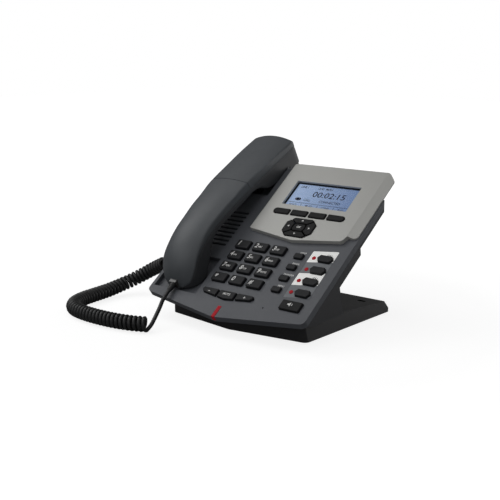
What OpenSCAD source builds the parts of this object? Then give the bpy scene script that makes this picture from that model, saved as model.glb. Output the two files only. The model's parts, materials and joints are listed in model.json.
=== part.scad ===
// Desk telephone with a sloping key panel, a display bezel, a corded handset and a low stand.
// X runs to the user's right, Y away from the user, Z up from the desk. Millimetres.
// Panel drawings use u (across), v (up the slope) and h (out of the panel face).

/* [Body] */
// Width of the sloping body
body_width = 178; // [172:1:214]
// Slope of the key panel above the desk, in degrees
panel_tilt = 36.5; // [34:0.5:39]
// Length up the slope from the front point to the end of the handset cradle
panel_length = 190; // [188:1:228]
// Rise of the bowed front edge for each millimetre away from its middle
front_bow = 0.14; // [0.10:0.01:0.16]
// How far the front point of the panel face lies below the seat on the stand
front_drop = 3.7; // [3:0.1:4.5]
// Thickness of the top case's face
face_wall = 2.5; // [2.2:0.1:2.6]
// Thickness of the other case walls
case_wall = 2.2; // [1.8:0.1:2.4]
// Depth of the top case's rim below the panel face
rim_depth = 6; // [5.5:0.1:6.5]
// Depth of the body's side wall beside the keys
lower_side_depth = 13.6; // [13:0.1:15]
// Depth of the body's side wall beside the display
upper_side_depth = 8.5; // [8.2:0.1:9.5]
// Depth of the raised back between the side walls
back_depth = 20; // [19:0.5:22]
// Distance from the body's side in to the side of the raised back
back_margin = 15; // [14:0.5:16]
// Distance from the front point to the flat end wall behind the display, along Y
end_wall_y = 127.2; // [126:0.1:158]

/* [Stand] */
// Height of the seat that carries the body
seat_height = 20.5; // [19:0.5:25]
// Width of the stand at the desk
stand_width = 154; // [148:1:168]
// Distance of the stand's front point behind the panel's front point
stand_front = 20.3; // [18:0.1:22]
// Distance of the stand's rear edge behind the panel's front point
stand_rear = 162; // [156:1:195]
// Height of the stand's top face under the body
stand_height = 16.5; // [15:0.5:17.5]
// Height of the stand's top face at its rear edge
stand_rear_height = 12; // [11:0.5:13]
// Thickness of the stand's walls
stand_wall = 2.5; // [2:0.1:3]
// Distance between the two wall slots
wall_slot_spacing = 121; // [110:1:126]
// Width of a wall slot
wall_slot_width = 4.5; // [4.1:0.1:5]
// Length of a wall slot, end to end
wall_slot_length = 9; // [8:0.5:10]
// Thickness of the rubber feet
foot_thickness = 2.2; // [2:0.1:2.6]
// How far the feet stand below the stand
foot_proud = 1; // [0.8:0.1:1.2]

/* [Keys] */
// Distance between dial key columns
dial_pitch_x = 20; // [18:0.5:20.5]
// Distance between dial key rows
dial_pitch_y = 13.5; // [12:0.5:13.5]
// Width of a dial key
dial_key_width = 15.6; // [13:0.1:16.4]
// Length of a dial key up the slope
dial_key_length = 9.8; // [8.2:0.1:10.4]
// Height of the dial keys above the panel face
dial_key_height = 2.6; // [2:0.1:3.2]
// Distance between line key rows
line_pitch = 13.2; // [12:0.1:13.4]
// Width of a line key
line_key_width = 16; // [13.5:0.1:16.4]
// Distance between function key rows
function_pitch = 13; // [12:0.1:13.4]
// Width of a function key
function_key_width = 9.5; // [8:0.1:11]
// Distance between soft keys
soft_pitch = 20; // [19.5:0.1:20.5]
// Width of a soft key
soft_key_width = 18; // [15:0.1:18.4]
// Travel of every key
key_travel = 1.2; // [0.8:0.1:1.2]
// Clearance around a key in its aperture
key_gap = 0.3; // [0.25:0.05:0.4]

/* [Display] */
// Width of the display window
window_width = 71; // [60:1:74]
// Length of the display window up the slope
window_length = 31; // [26:1:33]
// Height of the bezel face above the panel face
bezel_height = 4; // [3.8:0.1:4.4]
// Width of the bezel at the panel
bezel_width = 114; // [112:1:116]
// Length of the bezel up the slope, from its bottom point
bezel_length = 94; // [92:1:96]
// Thickness of the clear lens
lens_thickness = 1; // [0.8:0.1:1.1]

/* [Handset] */
// Length of the handset
handset_length = 190; // [184:1:204]
// Width of the handset's ear end
handset_width = 50; // [46:1:52]
// Width of the handset's mouth end
handset_mouth_width = 43; // [41:1:46]
// Width of the handset's back, where its sides have leaned in
handset_back_width = 42; // [38:1:46]
// Thickness of the handset's walls
handset_wall = 2; // [1.6:0.1:2.2]
// Clearance between the resting handset and its cradle
cradle_gap = 0.3; // [0.3:0.05:0.5]
// Lift of the hook plunger when the handset is taken off
hook_travel = 2.4; // [2:0.1:2.6]

/* [Cord] */
// Outer diameter of the curly cord
coil_diameter = 14.4; // [13:0.1:15]
// Diameter of the cord's wire
wire_diameter = 3.6; // [3:0.1:3.8]

/* [Hidden] */
$fn = 32;
skin = 0.01;
far = 400;

dial_names = ["key_star", "key_0", "key_hash", "key_7", "key_8", "key_9",
              "key_4", "key_5", "key_6", "key_1", "key_2", "key_3"];
volume_names = ["volume_down_key", "mute_key", "volume_up_key"];
nav_names = ["nav_right", "nav_up", "nav_left", "nav_down"];
function numbered(stem, count) = [for (i = [1:count]) str(stem, i)];
function_names = numbered("function_key_", 4);
line_names = numbered("line_key_", 4);
soft_names = numbered("soft_key_", 4);

// Body places
side_x = body_width / 2;
corner_v = front_bow * side_x;
panel_front_height = seat_height - front_drop;
corner_radius = 5;
function slope_y(v, h) = v * cos(panel_tilt) - h * sin(panel_tilt);
function slope_z(v, h) = panel_front_height + v * sin(panel_tilt) + h * cos(panel_tilt);
function slope_v(y, z) = y * cos(panel_tilt) + (z - panel_front_height) * sin(panel_tilt);
function slope_h(y, z) = -y * sin(panel_tilt) + (z - panel_front_height) * cos(panel_tilt);
function bow(u) = front_bow * abs(u);
// Place along the slope where the height h meets the seat's level
function seat_v(h) = (front_drop - h * cos(panel_tilt)) / sin(panel_tilt);
wedge_rear_y = 66.5;
wedge_top_y = 61;
wedge_top_z = seat_height + 24.5;
side_step_v = 104;
back_width = body_width - 2 * back_margin;
back_edge_x = back_width / 2;
back_end_v = 150;
display_back_x = side_x - 21;
display_back_v = panel_length - 6;
display_back_depth = 13;
cradle_back_depth = 20;
cradle_right_x = -side_x + 55;
cradle_back_v = panel_length - 52;
display_back_low_x = cradle_right_x;
seam = 0.1;
over_top = 10;
tub_bottom = 12.3;
tub_start_v = panel_length - 46;

// Key places, measured from the body's right side and the front point
dial_x = side_x - 89;
dial_v = 41.6;
volume_v = 24.3;
function_x = side_x - 45.3;
function_v = 40.8;
lamp_x = side_x - 30.4;
line_x = side_x - 18.4;
line_v = 41.8;
speaker_x = side_x - 21.2;
speaker_v = 27.1;
function_key_length = 6;
line_key_length = 7.5;
soft_key_length = 6.6;
small_key_height = 2.2;
bezel_key_height = 1.3;
speaker_key_size = [20.5, 10];
volume_key_width = 17.8;

// Bezel places, measured from the body's right side and the panel's upper end
bezel_right_x = side_x - 1;
bezel_left_x = bezel_right_x - bezel_width;
bezel_band = 9;
bezel_middle_x = bezel_right_x - bezel_band - 51.5;
bezel_top_v = panel_length - 2;
bezel_low_v = bezel_top_v - bezel_length;
bezel_wall = 2;
window_x = bezel_middle_x - 0.5;
window_v = bezel_top_v - 37.3;
soft_v = bezel_top_v - 62.3;
nav_v = bezel_top_v - 79.2;
nav_size = [32, 22];
nav_hole = [14, 9.6];
nav_split = 0.8;
nav_ok_gap = 0.6;

// Heights inside the body, along h
flange_gap = 0.3;
flange_thickness = 1;
flange_lip = 0.8;
board_top = -7.2;
board_thickness = 1.6;
mat_thickness = 0.5;
dome_height = 0.6;
dome_radius = 2.8;
stem_radius = 2;
stem_clear = 0.3;
stem_bottom = board_top + mat_thickness + dome_height + key_travel + stem_clear;
board_left_x = cradle_right_x + 4;
board_right_x = side_x - 9.5;
board_front_v = 23;
board_step_v = 98;
board_upper_x = display_back_x - 3.5;
board_top_v = display_back_v - 11;

// Handset places: s runs up the handset from its lower end
handset_x = -side_x + 3.7 + handset_width / 2;
handset_start = panel_length - 167.5;
well_side = 0.3;
well_right_x = handset_x + handset_width / 2 + 1;
well_left_x = handset_x - handset_width / 2 - well_side;
mouth_depth = 4;
ear_depth = 10;
handset_parting = 10.5;
bezier_steps = 16;
back_curve = [[0, -1], [8.5, 47], [80, 34.5], [handset_length - 1, 17]];
back_turns = [-27, -17, -8, 8, 17, 27];
// The crown of the back flattens towards the ear end: its axis falls away along the handset
crown_fall = 19.8;
ear_corner = 6;
lean_height = 30;
ear_start = [handset_length - 61.5, 3.5];
ear_end = [handset_length - 22.5, -ear_depth];
ear_slope = atan2(ear_end[1] - ear_start[1], ear_end[0] - ear_start[0]);

function bezier(p, t) =
    pow(1 - t, 3) * p[0] + 3 * t * pow(1 - t, 2) * p[1] + 3 * t * t * (1 - t) * p[2] + pow(t, 3) * p[3];
function back_line(drop) = [for (i = [0:bezier_steps]) bezier(back_curve, i / bezier_steps) - [0, drop]];
handset_underside = [
    [handset_length - 0.5, -4], [handset_length - 7, -ear_depth], ear_end, ear_start,
    [handset_length - 68, 11.5], [handset_length - 76.5, 14.5], [78.5, 17], [59.5, 18.5], [45.5, 15.5],
    [37.5, 9], [19.5, -mouth_depth], [7.5, -mouth_depth]];

// Sockets and the hook switch
socket_floor = seat_height + case_wall + seam;
network_size = [15.5, 18, 13];
network_mouth = [11.8, 12, 7.4];
network_x = [-4, 18];
power_x = -28;
power_size = [11, 15, 11];
power_bore = 3.2;
jack_y = 50;
jack_z = 34;
jack_size = [16, 13, 11];
plug_size = [12, 7.6, 6];
hook_v = panel_length - 30;
hook_size = [10, 7];
hook_top = -0.1;
speaker_unit_x = -side_x + 35;
speaker_unit_v = handset_start + 77.5;
speaker_unit_radius = 16;
speaker_unit_depth = 7.5;
grille_left_x = speaker_unit_x - 24;
grille_right_x = speaker_unit_x + 14;
grille_slots = 9;
grille_pitch = 5.1;
grille_slot = 2.2;
grille_v = speaker_unit_v - 22;

// Screws: panel places, then stand places
screw_radius = 1.5;
screw_head_radius = 2.8;
screw_head_height = 1.6;
screw_length = 7;
thread_gap = 0.05;
boss_radius = 2.9;
case_screw_places = [[-side_x + 6, 72], [side_x - 6, 72], [-side_x + 6, 132], [side_x - 6, 132]];
stand_screw_places = [[-40, 46], [40, 46]];

// Cord routes, measured from the front point
coil_route = [
    [-50, -29.5, 7.3], [-63, -35, 7.3], [-80, -39, 7.3], [-100, -40.5, 7.3], [-120, -39.5, 7.3],
    [-138, -35, 7.3], [-151, -24, 7.3], [-158, -8, 7.3], [-161, 10, 7.3], [-162, 28, 8],
    [-160, 45, 11], [-152, 59, 17], [-140, 66, 25], [-127, 66, 31.5], [-117, 64, 36]];
handset_tail_route = [
    [-60.3, 14.6, 32.8], [-60.2, 11.2, 30.3], [-59.6, 5.5, 26.2], [-57.8, -1.5, 21.8], [-54, -9.5, 17],
    [-51, -18, 11], [-48.8, -25.5, 5.8], [-47.2, -30.6, 2.3]];
base_tail_route = [
    [-91.7, 50, 34], [-96, 50, 34], [-100.5, 51.8, 35.2], [-105.5, 56, 37], [-110, 60.8, 38],
    [-114, 63.4, 37.2], [-116.6, 63.9, 36.2]];

// Places what is measured from the front point, with the origin under the middle of the whole
module on_desk() {
    translate([0, -middle_y, 0]) children();
}

module on_panel() {
    on_desk() translate([0, 0, panel_front_height]) rotate([panel_tilt, 0, 0]) children();
}

// Draws a side profile of v and h, and gives it a width along u
module across(width, centre = 0) {
    translate([centre, 0, 0]) rotate([90, 0, 90]) linear_extrude(width, center = true) children();
}

module rounded(size, radius) {
    offset(r = radius, $fn = 16) square([size[0] - 2 * radius, size[1] - 2 * radius], center = true);
}

module block(low, high) {
    translate(low) cube(high - low);
}

// Outline of the top case on the panel plane
module panel_outline(inset = 0) {
    offset(delta = -inset) offset(r = corner_radius, $fn = 16) offset(delta = -corner_radius)
        polygon([
            [0, 0], [side_x, corner_v], [side_x, end_wall_v(0) + 30], [display_back_x, end_wall_v(0) + 30],
            [display_back_x, display_back_v], [cradle_right_x, display_back_v],
            [cradle_right_x, panel_length], [-side_x, panel_length], [-side_x, corner_v]]);
}

function end_wall_v(h) = (end_wall_y + h * sin(panel_tilt)) / cos(panel_tilt);

// Undoes on_panel's slope, for shapes that stand square to the desk
module un_panel() {
    rotate([-panel_tilt, 0, 0]) translate([0, 0, -panel_front_height]) children();
}

// The space before the flat end wall, which stands to the right of the display back
module before_end_wall(inset = 0) {
    difference() {
        block([-far, -far, -far], [far, far, far]);
        block([display_back_x - inset - skin, end_wall_y - inset, -far - 1], [far + 1, far + 1, far + 1]);
    }
}

module nav_octagon(grow = 0) {
    offset(delta = grow) polygon([
        [nav_size[0] / 2, 5.2], [nav_size[0] / 2 - 6.5, nav_size[1] / 2],
        [-nav_size[0] / 2 + 6.5, nav_size[1] / 2], [-nav_size[0] / 2, 5.2],
        [-nav_size[0] / 2, -5.2], [-nav_size[0] / 2 + 6.5, -nav_size[1] / 2],
        [nav_size[0] / 2 - 6.5, -nav_size[1] / 2], [nav_size[0] / 2, -5.2]]);
}

// Quarter of the plane that holds one navigation key
module nav_quarter(index) {
    reach = 2;
    corners = [[1, -1], [1, 1], [-1, 1], [-1, -1]];
    a = corners[index];
    b = corners[(index + 1) % 4];
    offset(delta = -nav_split / 2) polygon([
        [0, 0], [a[0] * nav_size[0] * reach, a[1] * nav_size[1] * reach],
        [b[0] * nav_size[0] * reach, b[1] * nav_size[1] * reach]]);
}

module nav_shape(index, grow = 0) {
    difference() {
        intersection() {
            nav_octagon(grow);
            nav_quarter(index);
        }
        rounded(nav_hole, 3);
    }
}

module line_shape(grow = 0) {
    w = line_key_width / 2;
    l = line_key_length / 2;
    offset(delta = grow) polygon([[w, 0], [w - 2.2, l], [-w + 2.2, l], [-w, 0], [-w + 2.2, -l], [w - 2.2, -l]]);
}

// Bowed strip that the three volume keys are cut from, about the dial's middle column
module volume_strip() {
    end = dial_pitch_x + volume_key_width / 2;
    low = -5;
    offset(r = 1, $fn = 16) offset(delta = -1) polygon([
        [end - 1.5, 4], [-end + 1.5, 4], [-end, 1.4], [-end + 2.5, low + bow(end - 2.5)],
        [0, low], [end - 2.5, low + bow(end - 2.5)], [end, 1.4]]);
}

module volume_shape(index, grow = 0) {
    offset(delta = grow) intersection() {
        volume_strip();
        translate([(index - 1) * dial_pitch_x, 0]) square([volume_key_width, 30], center = true);
    }
}

module soft_shape(index, grow = 0) {
    round_end = soft_key_length / 2 - 0.1;
    offset(delta = grow) union() {
        rounded([soft_key_width, soft_key_length], index == 0 || index == 3 ? round_end : 1);
        if (index == 0) translate([soft_key_width / 4, 0]) rounded([soft_key_width / 2, soft_key_length], 1);
        if (index == 3) translate([-soft_key_width / 4, 0]) rounded([soft_key_width / 2, soft_key_length], 1);
    }
}

// The telephone reaches from the front point to the handset's upper end
middle_y = slope_y(handset_start + handset_length - 0.5, -4) / 2;

// Places of the keys on the panel
function dial_place(i) = [dial_x + (i % 3 - 1) * dial_pitch_x, dial_v + floor(i / 3) * dial_pitch_y];
function function_place(i) = [function_x, function_v + (3 - i) * function_pitch];
function line_place(i) = [line_x, line_v + (3 - i) * line_pitch];
function lamp_place(i) = [lamp_x, line_v + (3 - i) * line_pitch];
function soft_place(i) = [bezel_middle_x + (i - 1.5) * soft_pitch, soft_v];

// Puts a shape on the panel
module at(place, h = 0) {
    translate([place[0], place[1], h]) children();
}

// A key cap with a stepped top edge, a retaining flange and a stem. Child 0 is the cap's outline,
// child 1 the outline of its stepped top and child 2 the flange's outline.
module key_body(top, under, stem_at = [0, 0]) {
    step = 0.6;
    flange_top = under - flange_gap;
    translate([0, 0, flange_top - skin]) linear_extrude(top - step - flange_top + skin) children(0);
    translate([0, 0, top - step - skin]) linear_extrude(step + skin) children(1);
    translate([0, 0, flange_top - flange_thickness]) linear_extrude(flange_thickness) children(2);
    translate([stem_at[0], stem_at[1], stem_bottom])
        cylinder(r = stem_radius, h = flange_top - flange_thickness - stem_bottom + skin);
}

module dial_key(i) {
    color("#3c3d40") on_panel() at(dial_place(i)) key_body(dial_key_height, -face_wall) {
        rounded([dial_key_width, dial_key_length], 1.2);
        rounded([dial_key_width - 1, dial_key_length - 1], 1);
        square([dial_key_width + 2 * flange_lip, dial_key_length + 2 * flange_lip], center = true);
    }
}

module volume_key(i) {
    color("#3c3d40") on_panel() at([dial_x, volume_v])
        key_body(small_key_height, -face_wall, [(i - 1) * dial_pitch_x, 0]) {
            volume_shape(i);
            volume_shape(i, -0.5);
            volume_shape(i, flange_lip);
        }
}

module speaker_key() {
    color("#3c3d40") on_panel() at([speaker_x, speaker_v]) key_body(small_key_height, -face_wall) {
        rounded(speaker_key_size, 1);
        rounded(speaker_key_size - [1, 1], 0.8);
        square(speaker_key_size + 2 * [flange_lip, flange_lip], center = true);
    }
}

module function_key(i) {
    size = [function_key_width, function_key_length];
    color("#3c3d40") on_panel() at(function_place(i)) key_body(small_key_height, -face_wall) {
        rounded(size, 1.2);
        rounded(size - [1, 1], 1);
        square(size + 2 * [flange_lip, flange_lip], center = true);
    }
}

module line_key(i) {
    color("#3c3d40") on_panel() at(line_place(i)) key_body(small_key_height, -face_wall) {
        line_shape();
        line_shape(-0.5);
        line_shape(flange_lip);
    }
}

module soft_key(i) {
    color("#2e2f31") on_panel() at(soft_place(i))
        key_body(bezel_height + bezel_key_height, bezel_height - bezel_wall) {
            soft_shape(i);
            soft_shape(i, -0.5);
            soft_shape(i, flange_lip);
        }
}

module nav_key(i) {
    arm = [[11.2, 0], [0, 8], [-11.2, 0], [0, -8]];
    color("#2e2f31") on_panel() at([bezel_middle_x, nav_v])
        key_body(bezel_height + bezel_key_height, bezel_height - bezel_wall, arm[i]) {
            nav_shape(i);
            nav_shape(i, -0.5);
            nav_shape(i, flange_lip);
        }
}

// The middle key rests on its dome, and its flange is no wider than its cap
module nav_ok() {
    size = nav_hole - [2 * nav_ok_gap, 2 * nav_ok_gap];
    color("#2e2f31") on_panel() at([bezel_middle_x, nav_v])
        key_body(bezel_height + bezel_key_height, -0.7) {
            rounded(size, 2.6);
            rounded(size - [1, 1], 2.2);
            rounded(size, 2.6);
        }
}

// Side profile of the body's lower half on the panel plane, run past its open top
module side_profile() {
    polygon([
        [seat_v(over_top), over_top],
        [slope_v(wedge_rear_y, seat_height), slope_h(wedge_rear_y, seat_height)],
        [slope_v(wedge_top_y, wedge_top_z), -lower_side_depth],
        [side_step_v, -lower_side_depth], [side_step_v + 3, -upper_side_depth],
        [far, -upper_side_depth], [far, over_top]]);
}

// Side profile of the raised back with the socket wall
module back_profile() {
    wall_top = panel_front_height + (-back_depth + wedge_rear_y * sin(panel_tilt)) / cos(panel_tilt);
    polygon([
        [seat_v(over_top) + 12, over_top],
        [slope_v(30, seat_height), slope_h(30, seat_height)],
        [slope_v(wedge_rear_y, seat_height), slope_h(wedge_rear_y, seat_height)],
        [slope_v(wedge_rear_y, wall_top), -back_depth],
        [back_end_v - 7, -back_depth], [back_end_v, -display_back_depth], [back_end_v, over_top]]);
}

// The body's lower half, solid. inset draws the room inside it instead, run past its open top.
module rear_solid(inset = 0) {
    top = inset > 0 ? 1 - rim_depth : -rim_depth - seam;
    on_panel() intersection() {
        union() {
            intersection() {
                across(body_width - 2 * inset) offset(delta = -inset) side_profile();
                translate([0, 0, -100]) linear_extrude(200) panel_outline(inset);
                un_panel() before_end_wall(inset);
            }
            across(back_width - 2 * inset) offset(delta = -inset) back_profile();
            block([display_back_low_x + inset, 140, -display_back_depth + inset],
                  [display_back_x - inset, display_back_v - inset, over_top]);
            block([-side_x + inset, cradle_back_v + inset, -cradle_back_depth + inset],
                  [cradle_right_x + 2 - inset, panel_length - inset, over_top]);
        }
        block([-far, -far, -far], [far, far, top]);
    }
}

module rear_case() {
    slot = [jack_size[1] + 0.4, jack_size[2] + 0.4];
    color("#262729") difference() {
        union() {
            difference() {
                rear_solid();
                rear_solid(case_wall);
                // Room for the ear tub of the top case
                on_panel() block([-far, tub_start_v - seam, -tub_bottom - seam], [cradle_right_x + seam, far, 0]);
            }
            // Floor under the front lip, inside the top case's rim
            on_panel() intersection() {
                translate([0, 0, -rim_depth - seam - skin]) linear_extrude(1 + skin) panel_outline(case_wall + 0.15);
                block([-far, -far, -far], [far, seat_v(-rim_depth) + 3, far]);
            }
            // Bosses for the case screws
            on_panel() for (p = case_screw_places) at(p, -side_depth_at(p[1]) + skin)
                cylinder(r = boss_radius, h = side_depth_at(p[1]) - rim_depth - 0.4);
            // Bosses for the stand screws
            on_desk() for (p = stand_screw_places) translate([p[0], p[1], seat_height + skin])
                cylinder(r = boss_radius + 0.6, h = 8);
            // Posts that carry the main board
            on_panel() for (p = board_posts) at(p, -back_depth + skin)
                cylinder(r = 3, h = back_depth + board_top - board_thickness - seam);
        }
        on_panel() for (p = case_screw_places) at(p, -side_depth_at(p[1])) {
            translate([0, 0, -1]) cylinder(r = screw_head_radius + 0.3, h = 1 + screw_head_height + 0.2);
            translate([0, 0, -1]) cylinder(r = screw_radius + thread_gap, h = 20);
        }
        on_desk() for (p = stand_screw_places) translate([p[0], p[1], seat_height - 1])
            cylinder(r = screw_radius + thread_gap, h = 8);
        // Mouths of the rear sockets
        on_desk() for (x = network_x)
            block([x - network_mouth[0] / 2 - 0.6, wedge_rear_y - 4, socket_floor + 0.9],
                  [x + network_mouth[0] / 2 + 0.6, wedge_rear_y + 1, socket_floor + network_size[2] - 1]);
        on_desk() translate([power_x, wedge_rear_y + 1, socket_floor + power_size[2] / 2])
            rotate([90, 0, 0]) cylinder(r = power_bore + 0.6, h = 5);
        // Side cut-out for the handset jack
        on_desk() block([-side_x - 1, jack_y - slot[0] / 2, jack_z - slot[1] / 2],
              [-side_x + case_wall + 1, jack_y + slot[0] / 2, jack_z + slot[1] / 2]);
    }
}

function side_depth_at(v) = v < 105 ? lower_side_depth : upper_side_depth;
board_posts = [[board_left_x + 5, 76], [board_right_x - 12, 76], [board_left_x + 5, 134], [board_upper_x - 8, 134]];

module top_case() {
    color("#4d5155") difference() {
        union() {
            on_panel() difference() {
                intersection() {
                    translate([0, 0, -rim_depth]) linear_extrude(rim_depth) panel_outline();
                    un_panel() before_end_wall();
                }
                intersection() {
                    translate([0, 0, -rim_depth - 1]) linear_extrude(rim_depth + 1 - face_wall)
                        panel_outline(case_wall);
                    un_panel() before_end_wall(case_wall);
                }
            }
            on_panel() {
                // Tub for the ear end of the handset
                block([-side_x, tub_start_v, -tub_bottom], [cradle_right_x, panel_length, -face_wall + skin]);
                // Tray for the mouth end of the handset
                block([-side_x + case_wall / 2, handset_start - 4.5, seam - rim_depth],
                      [well_right_x + 2, handset_start + 42, -face_wall + skin]);
                // Bosses for the case screws
                for (p = case_screw_places) at(p, -rim_depth + 0.1) cylinder(r = boss_radius, h = rim_depth - 1);
            }
        }
        on_panel() {
            block([well_left_x, tub_start_v + 2, -ear_depth - cradle_gap], [well_right_x, far, 1]);
            block([well_left_x, handset_start - 3, -mouth_depth - cradle_gap], [well_right_x, handset_start + 40, 1]);
            for (p = case_screw_places) at(p, -rim_depth - 1) cylinder(r = screw_radius + thread_gap, h = rim_depth);
            for (i = [0:11]) at(dial_place(i), -20) linear_extrude(40)
                rounded([dial_key_width + 2 * key_gap, dial_key_length + 2 * key_gap], 1.5);
            for (i = [0:3]) {
                at(function_place(i), -20) linear_extrude(40)
                    rounded([function_key_width + 2 * key_gap, function_key_length + 2 * key_gap], 1.5);
                at(line_place(i), -20) linear_extrude(40) line_shape(key_gap);
                at(lamp_place(i), -20) cylinder(r = lamp_radius + 0.2, h = 40);
            }
            for (i = [0:2]) at([dial_x, volume_v], -20) linear_extrude(40) volume_shape(i, key_gap);
            at([speaker_x, speaker_v], -20) linear_extrude(40)
                rounded(speaker_key_size + 2 * [key_gap, key_gap], 1.3);
            // Recess of the line key card
            translate([0, 0, -card_thickness]) linear_extrude(5) card_outline(0.15);
            // Openings behind the bezel, wide enough for the flanges of the pressed keys
            intersection() {
                union() {
                    block([display_low_x, display_low_v, -20], [display_high_x, board_top_v, 1]);
                    block([bezel_middle_x, display_low_v, -20],
                          [soft_place(3)[0] + soft_key_width / 2 + flange_room,
                           soft_v + soft_key_length / 2 + flange_room, 1]);
                }
                translate([0, 0, -20]) linear_extrude(21) bezel_outline(bezel_rim);
            }
            // Speaker slots
            for (i = [0:grille_slots - 1])
                block([grille_left_x, grille_v + i * grille_pitch, -20],
                      [grille_right_x, grille_v + i * grille_pitch + grille_slot, 1]);
            at(mic_place, -20) cylinder(r = 0.8, h = 40);
            // Slot of the front lamp
            block([-lamp_strip / 2 - 0.1, -5, -rim_depth + 1.4], [lamp_strip / 2 + 0.1, 12.6, 1]);
            at([handset_x, hook_v], -40) linear_extrude(60) square(hook_size + [0.6, 0.6], center = true);
        }
    }
}

// Openings in the top case behind the bezel
bezel_rim = 1.2;
flange_room = flange_lip + key_gap + 0.2;
display_low_x = min(window_x - window_width / 2 - 3.5, soft_place(0)[0] - soft_key_width / 2 - flange_room);
display_low_v = nav_v - nav_size[1] / 2 - flange_room;
display_high_x = display_back_x - 2;
card_thickness = 0.8;
lamp_radius = 1.8;
lamp_strip = 3.6;
mic_place = [side_x - 46.7, 20];
card_left_x = side_x - 35;
card_right_x = side_x - 10;

// Slanted outline of the line key card
module card_outline(grow = 0) {
    low = line_v - 6.6;
    high = line_v + 3 * line_pitch + 7.4;
    lean = front_bow * (card_right_x - card_left_x);
    offset(r = 1 + grow, $fn = 16) offset(delta = -1) polygon([
        [card_left_x, low], [card_right_x, low + lean], [card_right_x, high + lean], [card_left_x, high]]);
}

module label_card() {
    color("white") on_panel() difference() {
        translate([0, 0, -card_thickness]) linear_extrude(card_thickness) card_outline();
        for (i = [0:3]) {
            at(line_place(i), -5) linear_extrude(10) line_shape(key_gap);
            at(lamp_place(i), -5) cylinder(r = lamp_radius + 0.2, h = 10);
        }
    }
}

module line_lamps() {
    color("#b02030") on_panel() for (i = [0:3]) at(lamp_place(i), board_top)
        cylinder(r = lamp_radius, h = 0.4 - board_top);
}

module message_lamp() {
    color("#c02028") on_panel() {
        block([-lamp_strip / 2, 0.3, -face_wall + 0.2], [lamp_strip / 2, 12.4, 0.3]);
        block([-lamp_strip / 2, 0.1, -rim_depth + 1.6], [lamp_strip / 2, 1.9, 0.3]);
    }
}

// Outline of the bezel on the panel plane
module bezel_outline(inset = 0, band = 0) {
    right = bezel_right_x - band;
    low = bezel_low_v;
    offset(delta = -inset) offset(r = 4, $fn = 16) offset(delta = -4) polygon([
        [bezel_left_x, low + bow(bezel_middle_x - bezel_left_x)], [bezel_middle_x, low],
        [bezel_right_x - bezel_band - 2, low + bow(bezel_right_x - bezel_band - bezel_middle_x)],
        [bezel_right_x - bezel_band + 0.5, low + 14], [right, low + 13],
        [right, bezel_top_v - 7], [right - 7, bezel_top_v], [bezel_left_x + 3, bezel_top_v],
        [bezel_left_x, bezel_top_v - 4]]);
}

module display_bezel() {
    band_drop = 2.6;
    band_angle = atan(band_drop / bezel_band);
    color("#aaaaa6") on_panel() difference() {
        linear_extrude(bezel_height) bezel_outline();
        // Hollow behind the face
        translate([0, 0, -1]) linear_extrude(1 + bezel_height - bezel_wall)
            bezel_outline(bezel_rim, bezel_band + 1);
        // Falling band along the right side, and the bevel of the left side
        translate([bezel_right_x - bezel_band, 0, bezel_height]) rotate([0, band_angle, 0]) cube([40, far, 20]);
        translate([bezel_left_x + 2, 0, bezel_height]) rotate([0, -40, 0]) translate([-40, 0, 0]) cube([40, far, 20]);
        at([window_x, window_v], -1) linear_extrude(20) rounded([window_width, window_length], 1);
        for (i = [0:3]) at(soft_place(i), -1) linear_extrude(20) soft_shape(i, key_gap);
        at([bezel_middle_x, nav_v], -1) linear_extrude(20) nav_octagon(key_gap);
    }
}

module display_lens() {
    color("#8fb0d8") on_panel()
        at([window_x, window_v], bezel_height - bezel_wall - lens_thickness) linear_extrude(lens_thickness)
            square([window_width + 3, window_length + 3], center = true);
}

module lcd_module() {
    top = bezel_height - bezel_wall - lens_thickness - 0.3;
    color("#6f8fb5") on_panel() at([window_x, window_v], board_top) {
        linear_extrude(top - board_top) square([window_width + 3, window_length + 5], center = true);
    }
}

module board_outline() {
    polygon([
        [board_left_x, board_front_v], [board_right_x, board_front_v], [board_right_x, board_step_v],
        [board_upper_x, board_step_v], [board_upper_x, board_top_v], [board_left_x, board_top_v]]);
}

module main_board() {
    color("#2f6b3c") on_panel() difference() {
        translate([0, 0, board_top - board_thickness]) linear_extrude(board_thickness) board_outline();
        at(mic_place, -20) cylinder(r = 4, h = 40);
    }
}

// Rubber mat with a dome under each key
module key_mat() {
    arm = [[11.2, 0], [0, 8], [-11.2, 0], [0, -8], [0, 0]];
    low_v = board_front_v + 0.5;
    places = concat(
        [for (i = [0:11]) dial_place(i)], [for (i = [0:3]) function_place(i)], [for (i = [0:3]) line_place(i)],
        [for (i = [0:3]) soft_place(i)], [for (a = arm) [bezel_middle_x, nav_v] + a],
        [for (i = [0:2]) [dial_x + (i - 1) * dial_pitch_x, volume_v + 2]], [[speaker_x, speaker_v]]);
    color("#8a8d90") on_panel() difference() {
        union() {
            translate([0, 0, board_top]) linear_extrude(mat_thickness) polygon([
                [board_left_x + 2, low_v], [board_right_x - 0.5, low_v], [board_right_x - 0.5, board_step_v - 1],
                [board_upper_x - 0.5, board_step_v - 1], [board_upper_x - 0.5, soft_v + 5],
                [board_left_x + 2, soft_v + 5]]);
            for (p = places) at(p, board_top) cylinder(r = dome_radius, h = mat_thickness + dome_height);
        }
        for (i = [0:3]) at(lamp_place(i), -20) cylinder(r = lamp_radius + 0.3, h = 40);
    }
}

module loudspeaker() {
    color("#1c1c1e") on_panel() at([speaker_unit_x, speaker_unit_v], -face_wall - speaker_unit_depth) {
        translate([0, 0, speaker_unit_depth - 3]) cylinder(r = speaker_unit_radius, h = 3);
        translate([0, 0, 0]) cylinder(r = speaker_unit_radius * 0.6, h = speaker_unit_depth - 2);
    }
}

module base_microphone() {
    color("#9a9a9a") on_panel() at(mic_place, -face_wall - 2.4) cylinder(r = 3, h = 2.4);
}

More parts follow.
